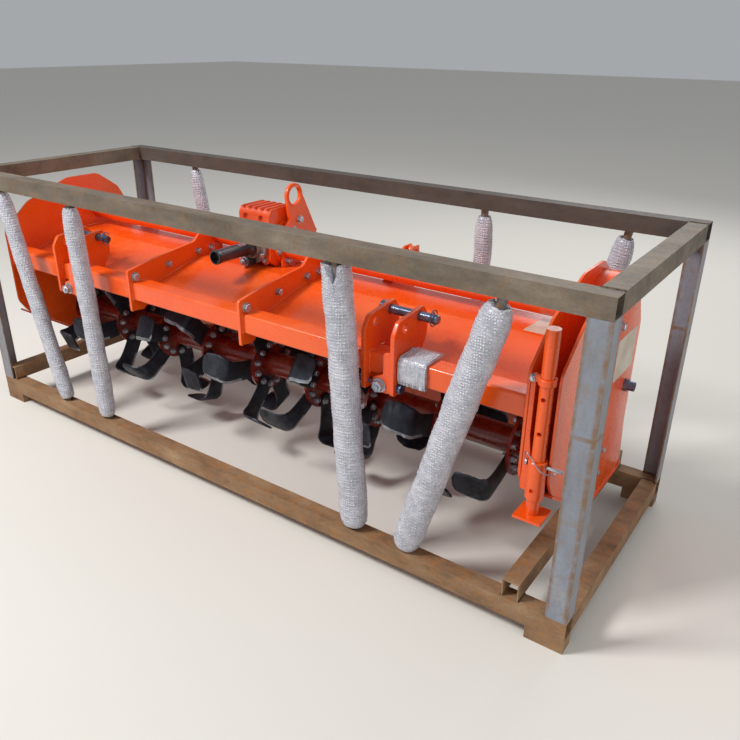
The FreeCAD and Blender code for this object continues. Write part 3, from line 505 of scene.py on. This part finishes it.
wrapping, tree, shader, place = started("bubble wrap", Roughness=0.3, Coat_Weight=0.4, Coat_Roughness=0.2)
cells = add(tree, "ShaderNodeTexVoronoi", {"Vector": place, "Scale": 135.0, "Randomness": 0.35})
bubbles = span(tree, cells.outputs["Distance"], 0.08, 0.5, 1.0, 0.0)
cloudy = noise(tree, place, 30.0, 8.0, 0.7)
tone = mixed(tree, bubbles, colour("#a5a5b0"), colour("#f2f3f7"))
tone = mixed(tree, span(tree, cloudy, 0.42, 0.62, 0.0, 0.6), tone, colour("#d9d9e0"))
tree.links.new(tone, shader.inputs["Base Color"])
bump(tree, shader, bubbles, 0.003, 1.0)
for node, side in (("brace_wraps_front", -1), ("brace_wraps_rear", 1)):
    rows = [row for row in braces if row[2] == side]
    sleeves = [sleeve(row, i + 3 * side + 5) for i, row in enumerate(rows)]
    wrap = piece(node.replace("brace_", "wound_"), together(sleeves), wrapping, slot="bubble_wrap", crease=80.0)
    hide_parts(node)

# Scrap of the same wrap folded over the front beam beside the right clevis: it hangs down the
# beam's front and lies on its top in small soft puffs
rows, count = [], 40
lap = np.array([(-0.335, 0.590), (-0.347, 0.591), (-0.349, 0.612), (-0.350, 0.634), (-0.3495, 0.655),
                (-0.344, 0.670), (-0.325, 0.6735), (-0.300, 0.673), (-0.275, 0.674), (-0.250, 0.669)])
inner_lap = np.clip(lap, (-0.3405, 0.0), (-0.246, 0.6635))
inner_lap[0] = (-0.337, 0.594)
draw = np.random.default_rng(4)
puffs = np.abs(draw.normal(0.0, 0.0016, (count, len(lap))))
for k, x in enumerate(np.linspace(0.699, 0.788, count)):
    lean = 0.006 * math.sin(k * 0.21 + 1.0)
    outer = lap + np.stack([-puffs[k] * (lap[:, 1] < 0.668), puffs[k] * (lap[:, 1] > 0.66)], axis=1)
    line = np.vstack([outer, inner_lap[::-1]])
    rows += [(x + lean * (0.62 - z), y, z) for y, z in line]
m = 2 * len(lap)
faces = skin(count, m) + [tuple(range(m))[::-1], tuple(range((count - 1) * m, count * m))]
scrap = piece("beam_wrap", (np.array(rows), flipped(faces)), wrapping, slot="bubble_wrap", crease=80.0)


# Enamel of the tiller: orange-red over primer, with fine orange peel, road dust where it
# can lie and a few chips down to dark steel
def enamel(name, base, deep, dust=0.2, chips=0.5):
    """Gloss paint, a little deeper in cloudy patches, dusty on faces that look up."""
    made, tree, shader, place = started(name, Coat_Weight=0.4, Coat_Roughness=0.16, IOR=1.5)
    clouds = noise(tree, place, 2.6, 6.0, 0.6)
    grime = noise(tree, place, 14.0, 10.0, 0.68)
    tone = mixed(tree, span(tree, clouds, 0.38, 0.66), colour(base), colour(deep))
    normal = add(tree, "ShaderNodeNewGeometry").outputs["Normal"]
    facing = add(tree, "ShaderNodeSeparateXYZ", {0: normal}).outputs[2]
    lies = times(tree, span(tree, facing, 0.1, 0.95, 0.25, 1.0), span(tree, grime, 0.46, 0.76, 0.0, dust))
    tone = mixed(tree, lies, tone, colour("#d98f62"))
    flakes = noise(tree, place, 75.0, 3.0, 0.4)
    chipped = times(tree, span(tree, flakes, 0.70, 0.72),
                    span(tree, noise(tree, place, 5.0), 0.5, 0.62, 0.0, chips))
    tone = mixed(tree, chipped, tone, colour("#5a2a1c"))
    tree.links.new(tone, shader.inputs["Base Color"])
    tree.links.new(span(tree, lies, 0.0, dust, 0.27, 0.6), shader.inputs["Roughness"])
    bump(tree, shader, noise(tree, place, 420.0, 2.0), 0.00012, 0.5)
    return made


orange = enamel("orange enamel", "#f05c10", "#e84b0b")
# Painted shade: the same orange enamel darkened to deep red, for the parts that lie in shade under the hood
inside = enamel("orange enamel in painted shade", "#8f1f10", "#5e150c", dust=0.4)
wear(orange, *[name for name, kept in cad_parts.items()
               if not kept.data.materials or kept.data.materials[0] not in (base_rust, mill_scale, primer)])


# Bare metal and plastic of the small parts: blue-grey zinc, dark forged steel of the
# blades with ground edges, and the black plastic of the shaft's cover
def metal(name, light, dark, rough, scale=24.0, metallic=0.85):
    """A metal whose colour and gloss drift between two tones."""
    made, tree, shader, place = started(name, Metallic=metallic)
    drift = noise(tree, place, scale, 7.0, 0.6)
    tree.links.new(ramp(tree, drift, (0.35, dark), (0.65, light)), shader.inputs["Base Color"])
    tree.links.new(span(tree, drift, 0.3, 0.7, rough + 0.1, rough - 0.08), shader.inputs["Roughness"])
    bump(tree, shader, noise(tree, place, 260.0, 4.0), 0.00015, 0.6)
    return made


zinc = metal("zinc plating", "#cdd0d6", "#9299a6", 0.34)
blue_zinc = metal("blue zinc plating", "#8f9ab0", "#4d5a76", 0.3)
forged = metal("forged blade steel", "#3b3f4a", "#23252c", 0.46, metallic=0.6)
ground_edge = metal("ground blade edge", "#a9adb5", "#7a7d84", 0.36)
black, tree, shader, place = started("black plastic", Roughness=0.28, Coat_Weight=0.3)
tone = ramp(tree, noise(tree, place, 18.0, 5.0), (0.35, "#15171b"), (0.7, "#2b2f38"))
tree.links.new(tone, shader.inputs["Base Color"])
cap_paint = metal("bare cast iron", "#a8a39b", "#77726c", 0.5, metallic=0.5)
# The rotor, its flanges and the bearings wear the darkened enamel, a painted shade
wear(inside, "rotor_tube", "rotor_flanges", "bearing_left", "hub_housing_right")
wear(forged, "tines_right_hand", "tines_left_hand")
wear(blue_zinc, "case_plug", "clamp_bolt_left", "clamp_bolt_right")
wear(zinc, "hitch_pin_left", "hitch_pin_right", "board_hinge_rod", "input_bearing_cap")
wear(black, "input_shaft")


def along_x(made, x, y, z, sign=1, spin=0.0):
    """A part built about +Z, laid along X at a point."""
    return turned(made, (x, y, z), (sign, 0, 0), spin)


def on_circle(made, x, y, z, radius, angle, sign=1, spin=0.0):
    """The same on a circle about (y, z), its angle taken from +Y."""
    return along_x(made, x, y + radius * math.cos(angle), z + radius * math.sin(angle), sign, spin)


def to_front(made, x, y, z, spin=0.0):
    """A part built about +Z, laid towards the front at a point."""
    return turned(made, (x, y, z), (0, -1, 0), spin)


def arc(y, z, radius, start, end, steps=14):
    """Points of an arc in the plane square to X, its angles in degrees from +Y."""
    angles = np.radians(np.linspace(start, end, steps))
    return [(y + radius * math.cos(a), z + radius * math.sin(a)) for a in angles]


# Blades of the rotor: flat forged steel, bolted to the flanges by two bolts each and bent at
# the tip to run along the rotor, half of them to the right and half to the left
rotor_y, rotor_z, reach, bolt_circle = -0.015, 0.330, 0.240, 0.082


def blade(hand, seed):
    """One blade on a flange's face at x = 0, pointing up. Its middle line goes out, turns through a
    round bend and runs along X. With u across its width w, a point is C + u Y + n N, less u^2 / 2R
    on the part along X, which follows the circle of radius R. n is the half thickness 4.5 mm, and
    1.2 mm at the ground edge."""
    draw = np.random.default_rng(seed)
    half, sharp, bend = 0.0045, 0.0012, 0.030
    angles = np.linspace(0.0, np.pi / 2.0, 9)
    out = [(half, z) for z in np.linspace(0.056, reach - half - bend, 9)[:-1]]
    out += [(half + bend * (1 - math.cos(a)), reach - half - bend + bend * math.sin(a)) for a in angles]
    tip = 0.112 - draw.uniform(0.0, 0.004)
    out += [(x, reach - half) for x in np.linspace(half + bend, tip, 12)[1:]]
    middle = np.array(out)
    s = np.concatenate([[0.0], np.cumsum(np.linalg.norm(np.diff(middle, axis=0), axis=1))])
    along = s / s[-1]
    width = np.interp(along, (0.0, 0.10, 0.45, 0.62, 0.80, 0.95, 0.985, 1.0),
                      (0.064, 0.074, 0.078, 0.096, 0.098, 0.088, 0.074, 0.050))
    shift = 0.036 * np.clip((along - 0.12) / 0.6, 0.0, 1.0) ** 1.6
    way = np.gradient(middle, axis=0)
    way /= np.linalg.norm(way, axis=1)[:, None]
    around = np.clip((along - 0.45) / 0.15, 0.0, 1.0)
    points = []
    for i in range(len(middle)):
        w = width[i] / 2.0
        for u, n in ((-w, sharp), (-w + 0.012, half), (w - 0.004, half), (w, 0.0025),
                     (w, -0.0025), (w - 0.004, -half), (-w + 0.012, -half), (-w, -sharp)):
            x = middle[i, 0] + way[i, 1] * n
            z = middle[i, 1] - way[i, 0] * n
            y = u + shift[i] + 0.0006 * draw.normal() * around[i]
            points.append((hand * x, y, z - around[i] * y * y / (2.0 * reach)))
    faces = [face[::hand] for face in skin(len(middle), 8)]
    pick = [int(k in (0, 6, 7) and at > 0.3) for at in along[:-1] for k in range(8)]
    for i in (0, len(middle) - 1):
        ring = tuple(range(i * 8, i * 8 + 8))
        faces.append(ring[::hand] if i else ring[::-hand])
        pick.append(0)
    return np.array(points), faces, pick


first_x, last_x, flange_thick, step = -1.150, 0.955, 0.010, 37.0
flange_pitch = (last_x - first_x - flange_thick) / 8
bolts = []
for node, hand in (("tines_right_hand", 1), ("tines_left_hand", -1)):
    blades, picks = [], []
    for number in range(9):
        if number == (8 if hand > 0 else 0):
            continue
        x = first_x + number * flange_pitch + (flange_thick + 0.0003 if hand > 0 else -0.0003)
        for i in range(3):
            angle = math.radians(120.0 * i + step * number + (0.0 if hand > 0 else 60.0))
            c, s = math.cos(angle), math.sin(angle)
            points, faces, pick = blade(hand, number * 6 + i + 3 * (hand < 0))
            y, z = points[:, 1] * c - points[:, 2] * s, points[:, 1] * s + points[:, 2] * c
            blades.append((np.stack([points[:, 0] + x, y + rotor_y, z + rotor_z], axis=1), faces))
            picks += pick
            for turn in (angle - math.radians(15.0), angle + math.radians(15.0)):
                by, bz = rotor_y - bolt_circle * math.sin(turn), rotor_z + bolt_circle * math.cos(turn)
                bolts.append(along_x(bolt(0.018, 0.009), x + hand * 0.009, by, bz, hand, angle))
                bolts.append(along_x(bolt(0.018, 0.011, 0.005), x - hand * 0.0106, by, bz, -hand, angle))
    made = piece(node.replace("tines", "blades"), together(blades), forged, ground_edge, body="rotor",
                 slot="tine_steel", crease=28.0, pick=picks)
    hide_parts(node)
for x, way, first in ((last_x + 0.0002, 1, 8 * step - 15.0), (first_x - 0.0002, -1, 45.0)):
    for k in range(6):
        a = math.radians(first + 120.0 * (k // 2) + 30.0 * (k % 2))
        by, bz = rotor_y - bolt_circle * math.sin(a), rotor_z + bolt_circle * math.cos(a)
        bolts.append(along_x(bolt(0.018, 0.009), x, by, bz, way, a))
piece("blade_bolts", together(bolts), zinc, body="rotor", slot="zinc")
bolts = []
for x, r, way in ((-1.1958, 0.069, 1), (1.0658, 0.083, -1)):
    for a in np.radians(np.arange(22.0, 382.0, 60.0)):
        bolts.append(on_circle(bolt(0.018, 0.010), x, rotor_y, rotor_z, r, a, way, a))
piece("bearing_bolts", together(bolts), zinc, slot="zinc")


# Gearbox: one casting with thick ribs from front to rear over its flat top, two round holes
# in its front face, and a rim at each end bolted to a drive tube
def ribbed(x0, x1, ribs):
    """A casting along X. Its outline moves inwards by a depth: 17 mm in the slots between the ribs,
    which run over the whole top and where the phase is near a half, and 10 mm in two round holes
    on the front. The ends of the slots slope over 8 mm."""
    front, under, deep, high = 0.026, 0.692, 0.186, 0.213
    hole_x, hole_z, hole_radius = (gear_x - 0.042, gear_x + 0.034), 0.868, 0.0125
    shares = [(0.00, 0.10), (0.00, 0.90), (0.07, 1.0), (0.72, 1.0), (0.97, 0.74), (1.0, 0.70), (1.0, 0.19),
              (0.72, 0.0), (0.14, 0.0)]
    outline = np.array(smoothed([(front + u * deep, under + v * high) for u, v in shares], 0.010, 6))
    outline = np.vstack([outline, outline[:1]])
    s = np.concatenate([[0.0], np.cumsum(np.linalg.norm(np.diff(outline, axis=0), axis=1))])
    fine = np.linspace(0.0, s[-1], 261)[:-1]
    line = np.stack([np.interp(fine, s, outline[:, i]) for i in (0, 1)], axis=1)
    way = np.roll(line, -1, axis=0) - np.roll(line, 1, axis=0)
    inward = np.stack([way[:, 1], -way[:, 0]], axis=1) / np.linalg.norm(way, axis=1)[:, None]
    y, z = line[:, 0], line[:, 1]
    over_top = np.clip((z - 0.856) / 0.006, 0.0, 1.0) * np.clip((y - 0.034) / 0.008, 0.0, 1.0)
    stations = np.linspace(0.0, ribs - 1.0, (ribs - 1) * 18 + 1)
    points = []
    for t in stations:
        x = x0 + (x1 - x0) * t / (ribs - 1.0)
        between = np.clip(0.5 - 1.5 * math.cos(2.0 * math.pi * t), 0.0, 1.0)
        holes = sum(np.clip((hole_radius - np.hypot(x - hx, z - hole_z)) / 0.002, 0.0, 1.0) for hx in hole_x)
        depth = between * 0.017 * over_top + 0.010 * holes * (y < 0.04)
        moved = line + inward * depth[:, None]
        points += [(x, py, pz) for py, pz in moved]
    n, m = len(stations), len(line)
    faces = skin(n, m) + [tuple(range(m))[::-1], tuple(range((n - 1) * m, n * m))]
    return np.array(points), flipped(faces)


gear_x, drive_y, drive_z, half_wide = -0.181, 0.115, 0.765, 0.074
foot_x = (gear_x - 0.048, gear_x + 0.048)
cast_iron = enamel("orange enamel on casting", "#ea5512", "#cc400c", dust=0.3)
tree = cast_iron.node_tree
place = add(tree, "ShaderNodeTexCoord").outputs["Object"]
bump(tree, tree.nodes["Principled BSDF"], noise(tree, place, 130.0, 6.0, 0.65), 0.0009, 0.7)
parts = [ribbed(gear_x - half_wide, gear_x + half_wide, 6)]
for sign in (-1, 1):
    rim = lathe([(0, 0), (0.084, 0), (0.087, 0.003), (0.087, 0.013), (0.083, 0.016), (0, 0.016)], 48)
    parts.append(along_x(rim, gear_x + sign * 0.061, drive_y, drive_z, sign))
for x in foot_x:
    parts.append(to_front(lathe([(0, 0), (0.017, 0), (0.016, 0.006), (0, 0.006)], 28), x, 0.029, 0.716))
made = piece("gearbox_casting", together(parts), cast_iron, slot="tiller_paint", crease=42.0)
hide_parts("gearbox_housing")
fasteners = []
for sign in (-1, 1):
    for a in np.radians(np.arange(15.0, 375.0, 60.0)):
        x = gear_x + sign * 0.0935
        fasteners.append(on_circle(bolt(0.017, 0.009), x, drive_y, drive_z, 0.064, a, sign, a))
for a in np.radians(np.arange(30.0, 390.0, 60.0)):
    x, z = gear_x + 0.052 * math.cos(a), drive_z + 0.052 * math.sin(a)
    fasteners.append(to_front(bolt(0.015, 0.008), x, 0.0117, z, a))
fasteners += [to_front(bolt(0.014, 0.007), x, 0.023, 0.716) for x in foot_x]

# Cover of the input shaft: a glossy black tube on a round flange, with a slot in its top near
# the root for the hand that pushes the joint on
cover_y = -0.0102
profile = [(0, 0), (0.034, 0), (0.036, 0.002), (0.036, 0.010), (0.031, 0.013), (0.0262, 0.016), (0.0250, 0.022),
           (0.0250, 0.150), (0.0258, 0.152), (0.0258, 0.168), (0.0246, 0.170), (0.0215, 0.170), (0.0210, 0.150),
           (0, 0.150)]
cover = to_front(lathe(profile, 48), gear_x, cover_y, drive_z)
made = piece("shaft_cover", cover, black, body="input", slot="black_plastic", crease=30.0)
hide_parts("input_shaft")
# The slot is not cut: a light bare-metal patch laid on the top of the tube shows it, a painted reflection of its
# inner edge
slot_reflection_points = []
for r in np.linspace(0.0, 1.0, 5):
    for a in np.linspace(0.0, 2.0 * np.pi, 25)[:-1]:
        side, back = 0.009 * r * math.cos(a), 0.009 * r * math.sin(a)
        back += math.copysign(0.010 * min(1.0, abs(math.sin(a)) * 3.0), math.sin(a)) * r
        around = side / 0.0251 + 0.42
        slot_reflection_points.append((gear_x + 0.0254 * math.sin(around), cover_y - 0.044 + back,
                            drive_z + 0.0254 * math.cos(around)))
slot_reflection_made = np.array(slot_reflection_points), flipped(skin(5, 24))
piece("cover_slot_reflection", slot_reflection_made, ground_edge, body="input", slot="black_plastic")
profile = [(0, 0), (0.0615, 0), (0.062, 0.001), (0.062, 0.012), (0.060, 0.014), (0.046, 0.0145),
           (0.0425, 0.018), (0.042, 0.030), (0.040, 0.032), (0, 0.032)]
cap = to_front(lathe(profile, 56), gear_x, 0.0257, drive_z)
made = piece("bearing_cap", cap, cap_paint, slot="zinc", crease=30.0)
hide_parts("input_bearing_cap")
corners = ((-0.040, 0.724), (-0.040, 0.706), (-0.026, 0.694), (0.002, 0.694), (0.014, 0.706), (0.014, 0.724))
bracket = smoothed([(gear_x + x, z) for x, z in corners], 0.008)
piece("cap_bracket", upright_plate(bracket, -0.0145, 0.0115), black, slot="black_plastic")
fasteners.append(to_front(bolt(0.026, 0.015, 0.006), gear_x - 0.016, -0.0145, 0.712, 0.4))

# Hitch plates and top link plates: thick plate cut with round edges, on the beam, the hood
# and the drive tubes
hitch_x, link_x, tube_hole = (-0.4535, 0.0915), (-0.2846, -0.0894), (drive_y, drive_z, 0.0523)
hitch_outline = ([(-0.352, 0.553), (-0.352, 0.709), (-0.209, 0.732), (-0.030, 0.750), (0.030, 0.806),
                  (0.0825, 0.806)] + arc(drive_y, drive_z, tube_hole[2], 128.4, 270.0)
                 + [(0.115, 0.6903), (-0.010, 0.6903), (-0.2665, 0.6262), (-0.2665, 0.577), (-0.300, 0.553)])
hitch_outline = smoothed(hitch_outline[:6], 0.010)[:-6] + hitch_outline[5:]
beam_slot = [(-0.3403, 0.5967), (-0.2697, 0.5967), (-0.2697, 0.6633), (-0.3403, 0.6633)]
for name, x in zip(("left", "right"), hitch_x):
    made = piece("mast_" + name, plate(hitch_outline, [beam_slot], x - 0.006, x + 0.006, 0.0014), orange,
                 slot="tiller_paint")
    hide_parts("hitch_plate_" + name)
ear_y, ear_z = 0.137, 0.944
plate_base = [(0.262, 0.802), (0.246, 0.735), (0.162, 0.6903), (0.060, 0.6903), (0.060, 0.820), (0.107, 0.858)]
for name, x0, top, ear_hole in (
        ("left", link_x[0], [(0.199, 0.858)], []),
        ("right", link_x[1], arc(ear_y, ear_z, 0.045, 180.0, 0.0, 20), [(ear_y, ear_z, 0.032)])):
    outline = smoothed(plate_base[:5], 0.006)[:-6] + plate_base[4:] + top
    parts = [plate(outline, [tube_hole] + ear_hole, x0, x0 + 0.012, 0.0016)]
    if ear_hole:
        for face in (x0 + 0.001, x0 + 0.011):
            ring = [(face, y, z) for y, z in arc(ear_y, ear_z, 0.0345, 0.0, 360.0, 49)[:-1]]
            parts.append(tube(ring, 0.0034, 8, True))
    made = piece("gearbox_plate_" + name, together(parts), orange, slot="tiller_paint")
    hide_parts("support_plate_" + name)
    side = -1 if name == "left" else 1
    for y, z in ((0.088, 0.712), (0.160, 0.853), (0.225, 0.770)):
        fasteners.append(along_x(bolt(0.021, 0.011), x0 + (0.012 if side > 0 else 0.0), y, z, side))
for x in hitch_x:
    for y, z, across in ((-0.322, 0.682, 0.024), (-0.165, 0.692, 0.019), (-0.016, 0.710, 0.019),
                         (0.052, 0.710, 0.019)):
        fasteners.append(along_x(bolt(across, 0.011), x + 0.006, y, z))
        fasteners.append(along_x(bolt(across, 0.012, 0.008), x - 0.006, y, z, -1))

# Lower hitch clevises: two ears with a spare hole each, a clamp plate against the beam, and
# a zinc-plated pin with a wire clip through its end
clevis_x, pin_y, pin_z = (-0.8155, 0.6395), -0.235, 0.760
ear_outline = smoothed([(-0.365, 0.553), (-0.365, 0.735), (-0.342, 0.771), (-0.215, 0.786), (-0.185, 0.750),
                        (-0.193, 0.690), (-0.225, 0.6370), (-0.2655, 0.6270), (-0.2655, 0.581), (-0.316, 0.553)],
                       0.009)
clamp_outline = smoothed([(0.0, 0.556), (0.0, 0.680), (-0.024, 0.680), (-0.024, 0.612), (-0.060, 0.598),
                          (-0.060, 0.556)], 0.010)
pin_profile = [(0, 0), (0.0125, 0), (0.014, 0.002), (0.014, 0.186), (0.0115, 0.190), (0, 0.190)]
head_profile = [(0, 0), (0.021, 0), (0.022, 0.001), (0.022, 0.010), (0.020, 0.0155), (0, 0.0155)]
clip_wires = []
for name, middle in zip(("left", "right"), clevis_x):
    holes = [beam_slot, (pin_y, pin_z, 0.0143), (-0.310, 0.744, 0.014)]
    parts = [plate(ear_outline, holes, x0, x0 + 0.014, 0.0016) for x0 in (middle - 0.056, middle + 0.042)]
    clamp = [(x + middle + 0.0418, z) for x, z in clamp_outline]
    parts.append(upright_plate(clamp, -0.3615, -0.3505, 0.0016))
    fasteners.append(to_front(bolt(0.030, 0.017, 0.005), middle + 0.008, -0.3615, 0.578, 0.3))
    made = piece("ears_" + name, together(parts), orange, slot="tiller_paint")
    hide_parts("clevis_" + name)
    parts = [along_x(lathe(profile, 40), middle - 0.0725, pin_y, pin_z)
             for profile in (pin_profile, head_profile)]
    made = piece("pin_" + name, together(parts), blue_zinc, slot="zinc", crease=30.0)
    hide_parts("hitch_pin_" + name)
    x, turn = middle + 0.101, np.linspace(0.4, 2 * np.pi - 0.4, 24)
    loop = [(x, pin_y + 0.020 * math.cos(t), pin_z + 0.002 + 0.024 * math.sin(t)) for t in turn]
    clip_wires.append(tube([(x, pin_y, pin_z - 0.018), (x, pin_y, pin_z + 0.021)], 0.0024, 10))
    clip_wires.append(tube(loop, 0.0017, 8))
piece("pin_clips", together(clip_wires), blue_zinc, slot="zinc")
piece("plate_bolts", together(fasteners), zinc, slot="zinc")


# Side plates and the cover of the gear case: 8 mm plate with eased edges, bolted to the case
# and the bearings, with a bare label plate on the cover
skid_shares = [(0.049, 1.350), (0.335, 0.578), (0.451, 0.262), (0.560, 0.000), (1.008, 0.000), (1.039, 0.099)]
side_shares = [(1.032, 0.101), (1.000, 0.235), (1.000, 0.705), (0.876, 0.906), (0.722, 1.000), (0.490, 1.000),
               (0.181, 0.906), (0.000, 0.772), (0.000, 0.369)]
front_y, side_deep, sole_z = -0.352, 0.647, 0.165
corners = ([(front_y + u * side_deep, sole_z + 0.0003 + v * (rotor_z - sole_z)) for u, v in skid_shares]
           + [(front_y + u * side_deep, sole_z + v * (0.910 - sole_z)) for u, v in side_shares])
side_outline = smoothed(corners, 0.016, 5)
left_x, cover_x, thick = -1.218, 1.1606, 0.008
cover_face = cover_x + thick
for name, x0, holes in (("side_plate_left", left_x, [(rotor_y, rotor_z, 0.0306), tube_hole]),
                        ("side_plate_right", 1.080, [(rotor_y, rotor_z, 0.0406), tube_hole]),
                        ("side_case_cover", cover_x, [])):
    made = piece(name.replace("side_", "eased_"), plate(side_outline, holes, x0, x0 + thick, 0.0013), orange,
                 slot="tiller_paint")
    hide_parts(name)
case_bolts = []
for a in np.radians(np.arange(0.0, 360.0, 40.0)):
    if 20.0 < math.degrees(a) < 160.0:
        case_bolts.append(on_circle(bolt(0.014, 0.008), cover_face, drive_y, drive_z, 0.104, a))
    else:
        case_bolts.append(on_circle(bolt(0.014, 0.008), cover_face, rotor_y, rotor_z, 0.106, a))
for a in np.radians(np.arange(30.0, 390.0, 60.0)):
    case_bolts.append(on_circle(bolt(0.017, 0.009), left_x, rotor_y, rotor_z, 0.069, a, -1))
    case_bolts.append(on_circle(bolt(0.017, 0.009), left_x, drive_y, drive_z, 0.074, a, -1))
case_bolts.append(along_x(bolt(0.022, 0.012), cover_face, 0.084, 0.737))
piece("case_bolts", together(case_bolts), zinc, slot="zinc")
label, tree, shader, place = started("blank label", Roughness=0.4, Coat_Weight=0.2)
tone = ramp(tree, noise(tree, place, 14.0, 6.0), (0.4, "#d8cdbb"), (0.65, "#c2b49f"))
tree.links.new(tone, shader.inputs["Base Color"])
label_outline = smoothed([(0.088, 0.556), (0.262, 0.556), (0.262, 0.688), (0.088, 0.688)], 0.008)
piece("cover_label", plate(label_outline, [], cover_face - 0.0004, cover_face + 0.0008, 0.0003), label,
      slot="tiller_paint")
label_outline = smoothed([(0.008, 0.0), (0.140, 0.0), (0.140, 0.078), (0.008, 0.078)], 0.005)
points, faces = plate(label_outline, [], 0.6896, 0.6906, 0.0002)
points = np.stack([0.906 + points[:, 2] + 0.08 * points[:, 1], points[:, 1], points[:, 0]], axis=1)
piece("hood_label", (points, flipped(faces)), label, slot="tiller_paint")

# Parking stand: collar with its cross hole, strap and guide of the leg, a bolt at the strap's
# top, and a round pin whose wire bail snaps over the front of the collar
stand_x, stand_y, pin_z, sides = 1.134, -0.357, 0.490, 40


def ring_z(radius, bore, z0, z1, eased=0.0012):
    """A ring about the stand's leg with eased edges."""
    profile = [(bore, z0 + eased), (bore + eased, z0), (radius - eased, z0), (radius, z0 + eased),
               (radius, z1 - eased), (radius - eased, z1), (bore + eased, z1), (bore, z1 - eased)]
    angles = np.arange(sides) * 2.0 * np.pi / sides
    points = [(stand_x + r * math.cos(a), stand_y + r * math.sin(a), z) for r, z in profile for a in angles]
    return np.array(points), skin(len(profile), sides, closed=True)


def drilled(made, cutter):
    """A solid of points and faces with a second one cut out of it."""
    shapes = []
    for points, faces in (made, cutter):
        mesh = bpy.data.meshes.new("drilled")
        mesh.from_pydata([tuple(p) for p in points], [], [tuple(f) for f in faces])
        shapes.append(bpy.data.objects.new("drilled", mesh))
        bpy.context.scene.collection.objects.link(shapes[-1])
    cut = shapes[0].modifiers.new("cut", "BOOLEAN")
    cut.operation, cut.solver, cut.object = "DIFFERENCE", "EXACT", shapes[1]
    bpy.context.view_layer.update()
    mesh = bpy.data.meshes.new_from_object(shapes[0].evaluated_get(bpy.context.evaluated_depsgraph_get()))
    points, faces = np.array([v.co for v in mesh.vertices]), [tuple(p.vertices) for p in mesh.polygons]
    for used in [shapes[0].data, shapes[1].data, mesh]:
        bpy.data.meshes.remove(used)
    return points, faces


cross_hole = to_front(lathe([(0, 0), (0.0063, 0), (0.0063, 0.030), (0, 0.030)], 28), stand_x, stand_y, 0.422)
strap = smoothed([(1.0886, 0.402), (1.106, 0.396), (1.111, 0.430), (1.109, 0.500), (1.1015, 0.560),
                  (1.1015, 0.733), (1.0886, 0.733)], 0.006)
web = smoothed([(1.0995, 0.716), (1.118, 0.716), (1.118, 0.733), (1.0995, 0.733)], 0.003)
parts = [drilled(ring_z(0.0250, 0.0184, 0.392, 0.504), cross_hole), ring_z(0.0235, 0.0184, 0.716, 0.734),
         upright_plate(strap, -0.350, -0.340), upright_plate(web, -0.358, -0.344)]
made = piece("stand_bracket", together(parts), orange, slot="tiller_paint")
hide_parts("stand_collar")
stand_zinc = [along_x(lathe([(0, 0), (0.0048, 0), (0.0048, 0.040), (0.003, 0.043), (0, 0.043)], 16),
                      stand_x + 0.0254, stand_y - 0.0018, pin_z),
              along_x(lathe([(0, 0), (0.0048, 0), (0.009, 0.002), (0.009, 0.007), (0, 0.008)], 16),
                      stand_x - 0.0252, stand_y - 0.0018, pin_z, -1),
              to_front(bolt(0.015, 0.009, 0.004), 1.0950, -0.350, 0.722)]
bail = [(-0.030, -0.0018, 0.490), (-0.034, -0.008, 0.508), (-0.031, -0.018, 0.526), (-0.020, -0.0275, 0.531),
        (0.0, -0.0300, 0.510), (0.020, -0.0275, 0.487), (0.033, -0.016, 0.478), (0.048, -0.004, 0.480),
        (0.0545, -0.0018, 0.490)]
share = np.linspace(0.0, len(bail) - 1.0, 60)
kernel = np.array([1.0, 2.0, 3.0, 2.0, 1.0]) / 9.0
wire = []
for i in range(3):
    fine = np.interp(share, range(len(bail)), np.array(bail)[:, i])
    wire.append(np.convolve(np.pad(fine, 2, mode="edge"), kernel, "valid"))
stand_zinc.append(tube(np.array(wire).T + np.array([stand_x, stand_y, 0.0]), 0.0016, 8))
piece("stand_pin", together(stand_zinc), zinc, slot="zinc")

# Painted weld beads of the tiller: hood to beam and side plates, plates and ears on the hood
# and the beam, skids under the side plates, and the stand's collar on its strap
hood_path = [(-0.2665, 0.6290), (-0.0100, 0.6915), (0.1530, 0.6915)]
beam_path = [(-0.3412, 0.5965), (-0.3412, 0.6642), (-0.2690, 0.6642)]
runs = [([(x, -0.2680, 0.6268) for x in (-1.206, 1.076)], 0.0032)]
for x in (-1.2085, 1.0785):
    runs += [([(x, y, z) for y, z in hood_path], 0.0035), ([(x, y, z) for y, z in beam_path], 0.0035)]
for x in hitch_x:
    for face in (x - 0.0068, x + 0.0068):
        runs += [([(face, y, z) for y, z in [(-0.2600, 0.6305), (-0.0100, 0.6920), (0.1080, 0.6920)]], 0.0030),
                 ([(face, y, z) for y, z in beam_path], 0.0030)]
for x0 in link_x:
    for face in (x0 - 0.0008, x0 + 0.0128):
        runs.append(([(face, 0.064, 0.6920), (face, 0.156, 0.6920)], 0.0030))
for middle in clevis_x:
    for face in (middle - 0.0568, middle - 0.0412, middle + 0.0412, middle + 0.0568):
        runs.append(([(face, y, z) for y, z in beam_path], 0.0030))
for x in (-1.2188, 1.0792):
    runs.append(([(x, y, z + 0.001) for y, z in corners[1:5]], 0.0032))
for x in (stand_x - 0.0235, stand_x - 0.0215):
    runs.append(([(x, -0.3440, 0.404), (x, -0.3440, 0.494)], 0.0030))
beads = [bead(path, r, seed=100 + i) for i, (path, r) in enumerate(runs)]
piece("tiller_welds", together(beads), orange, slot="tiller_paint")
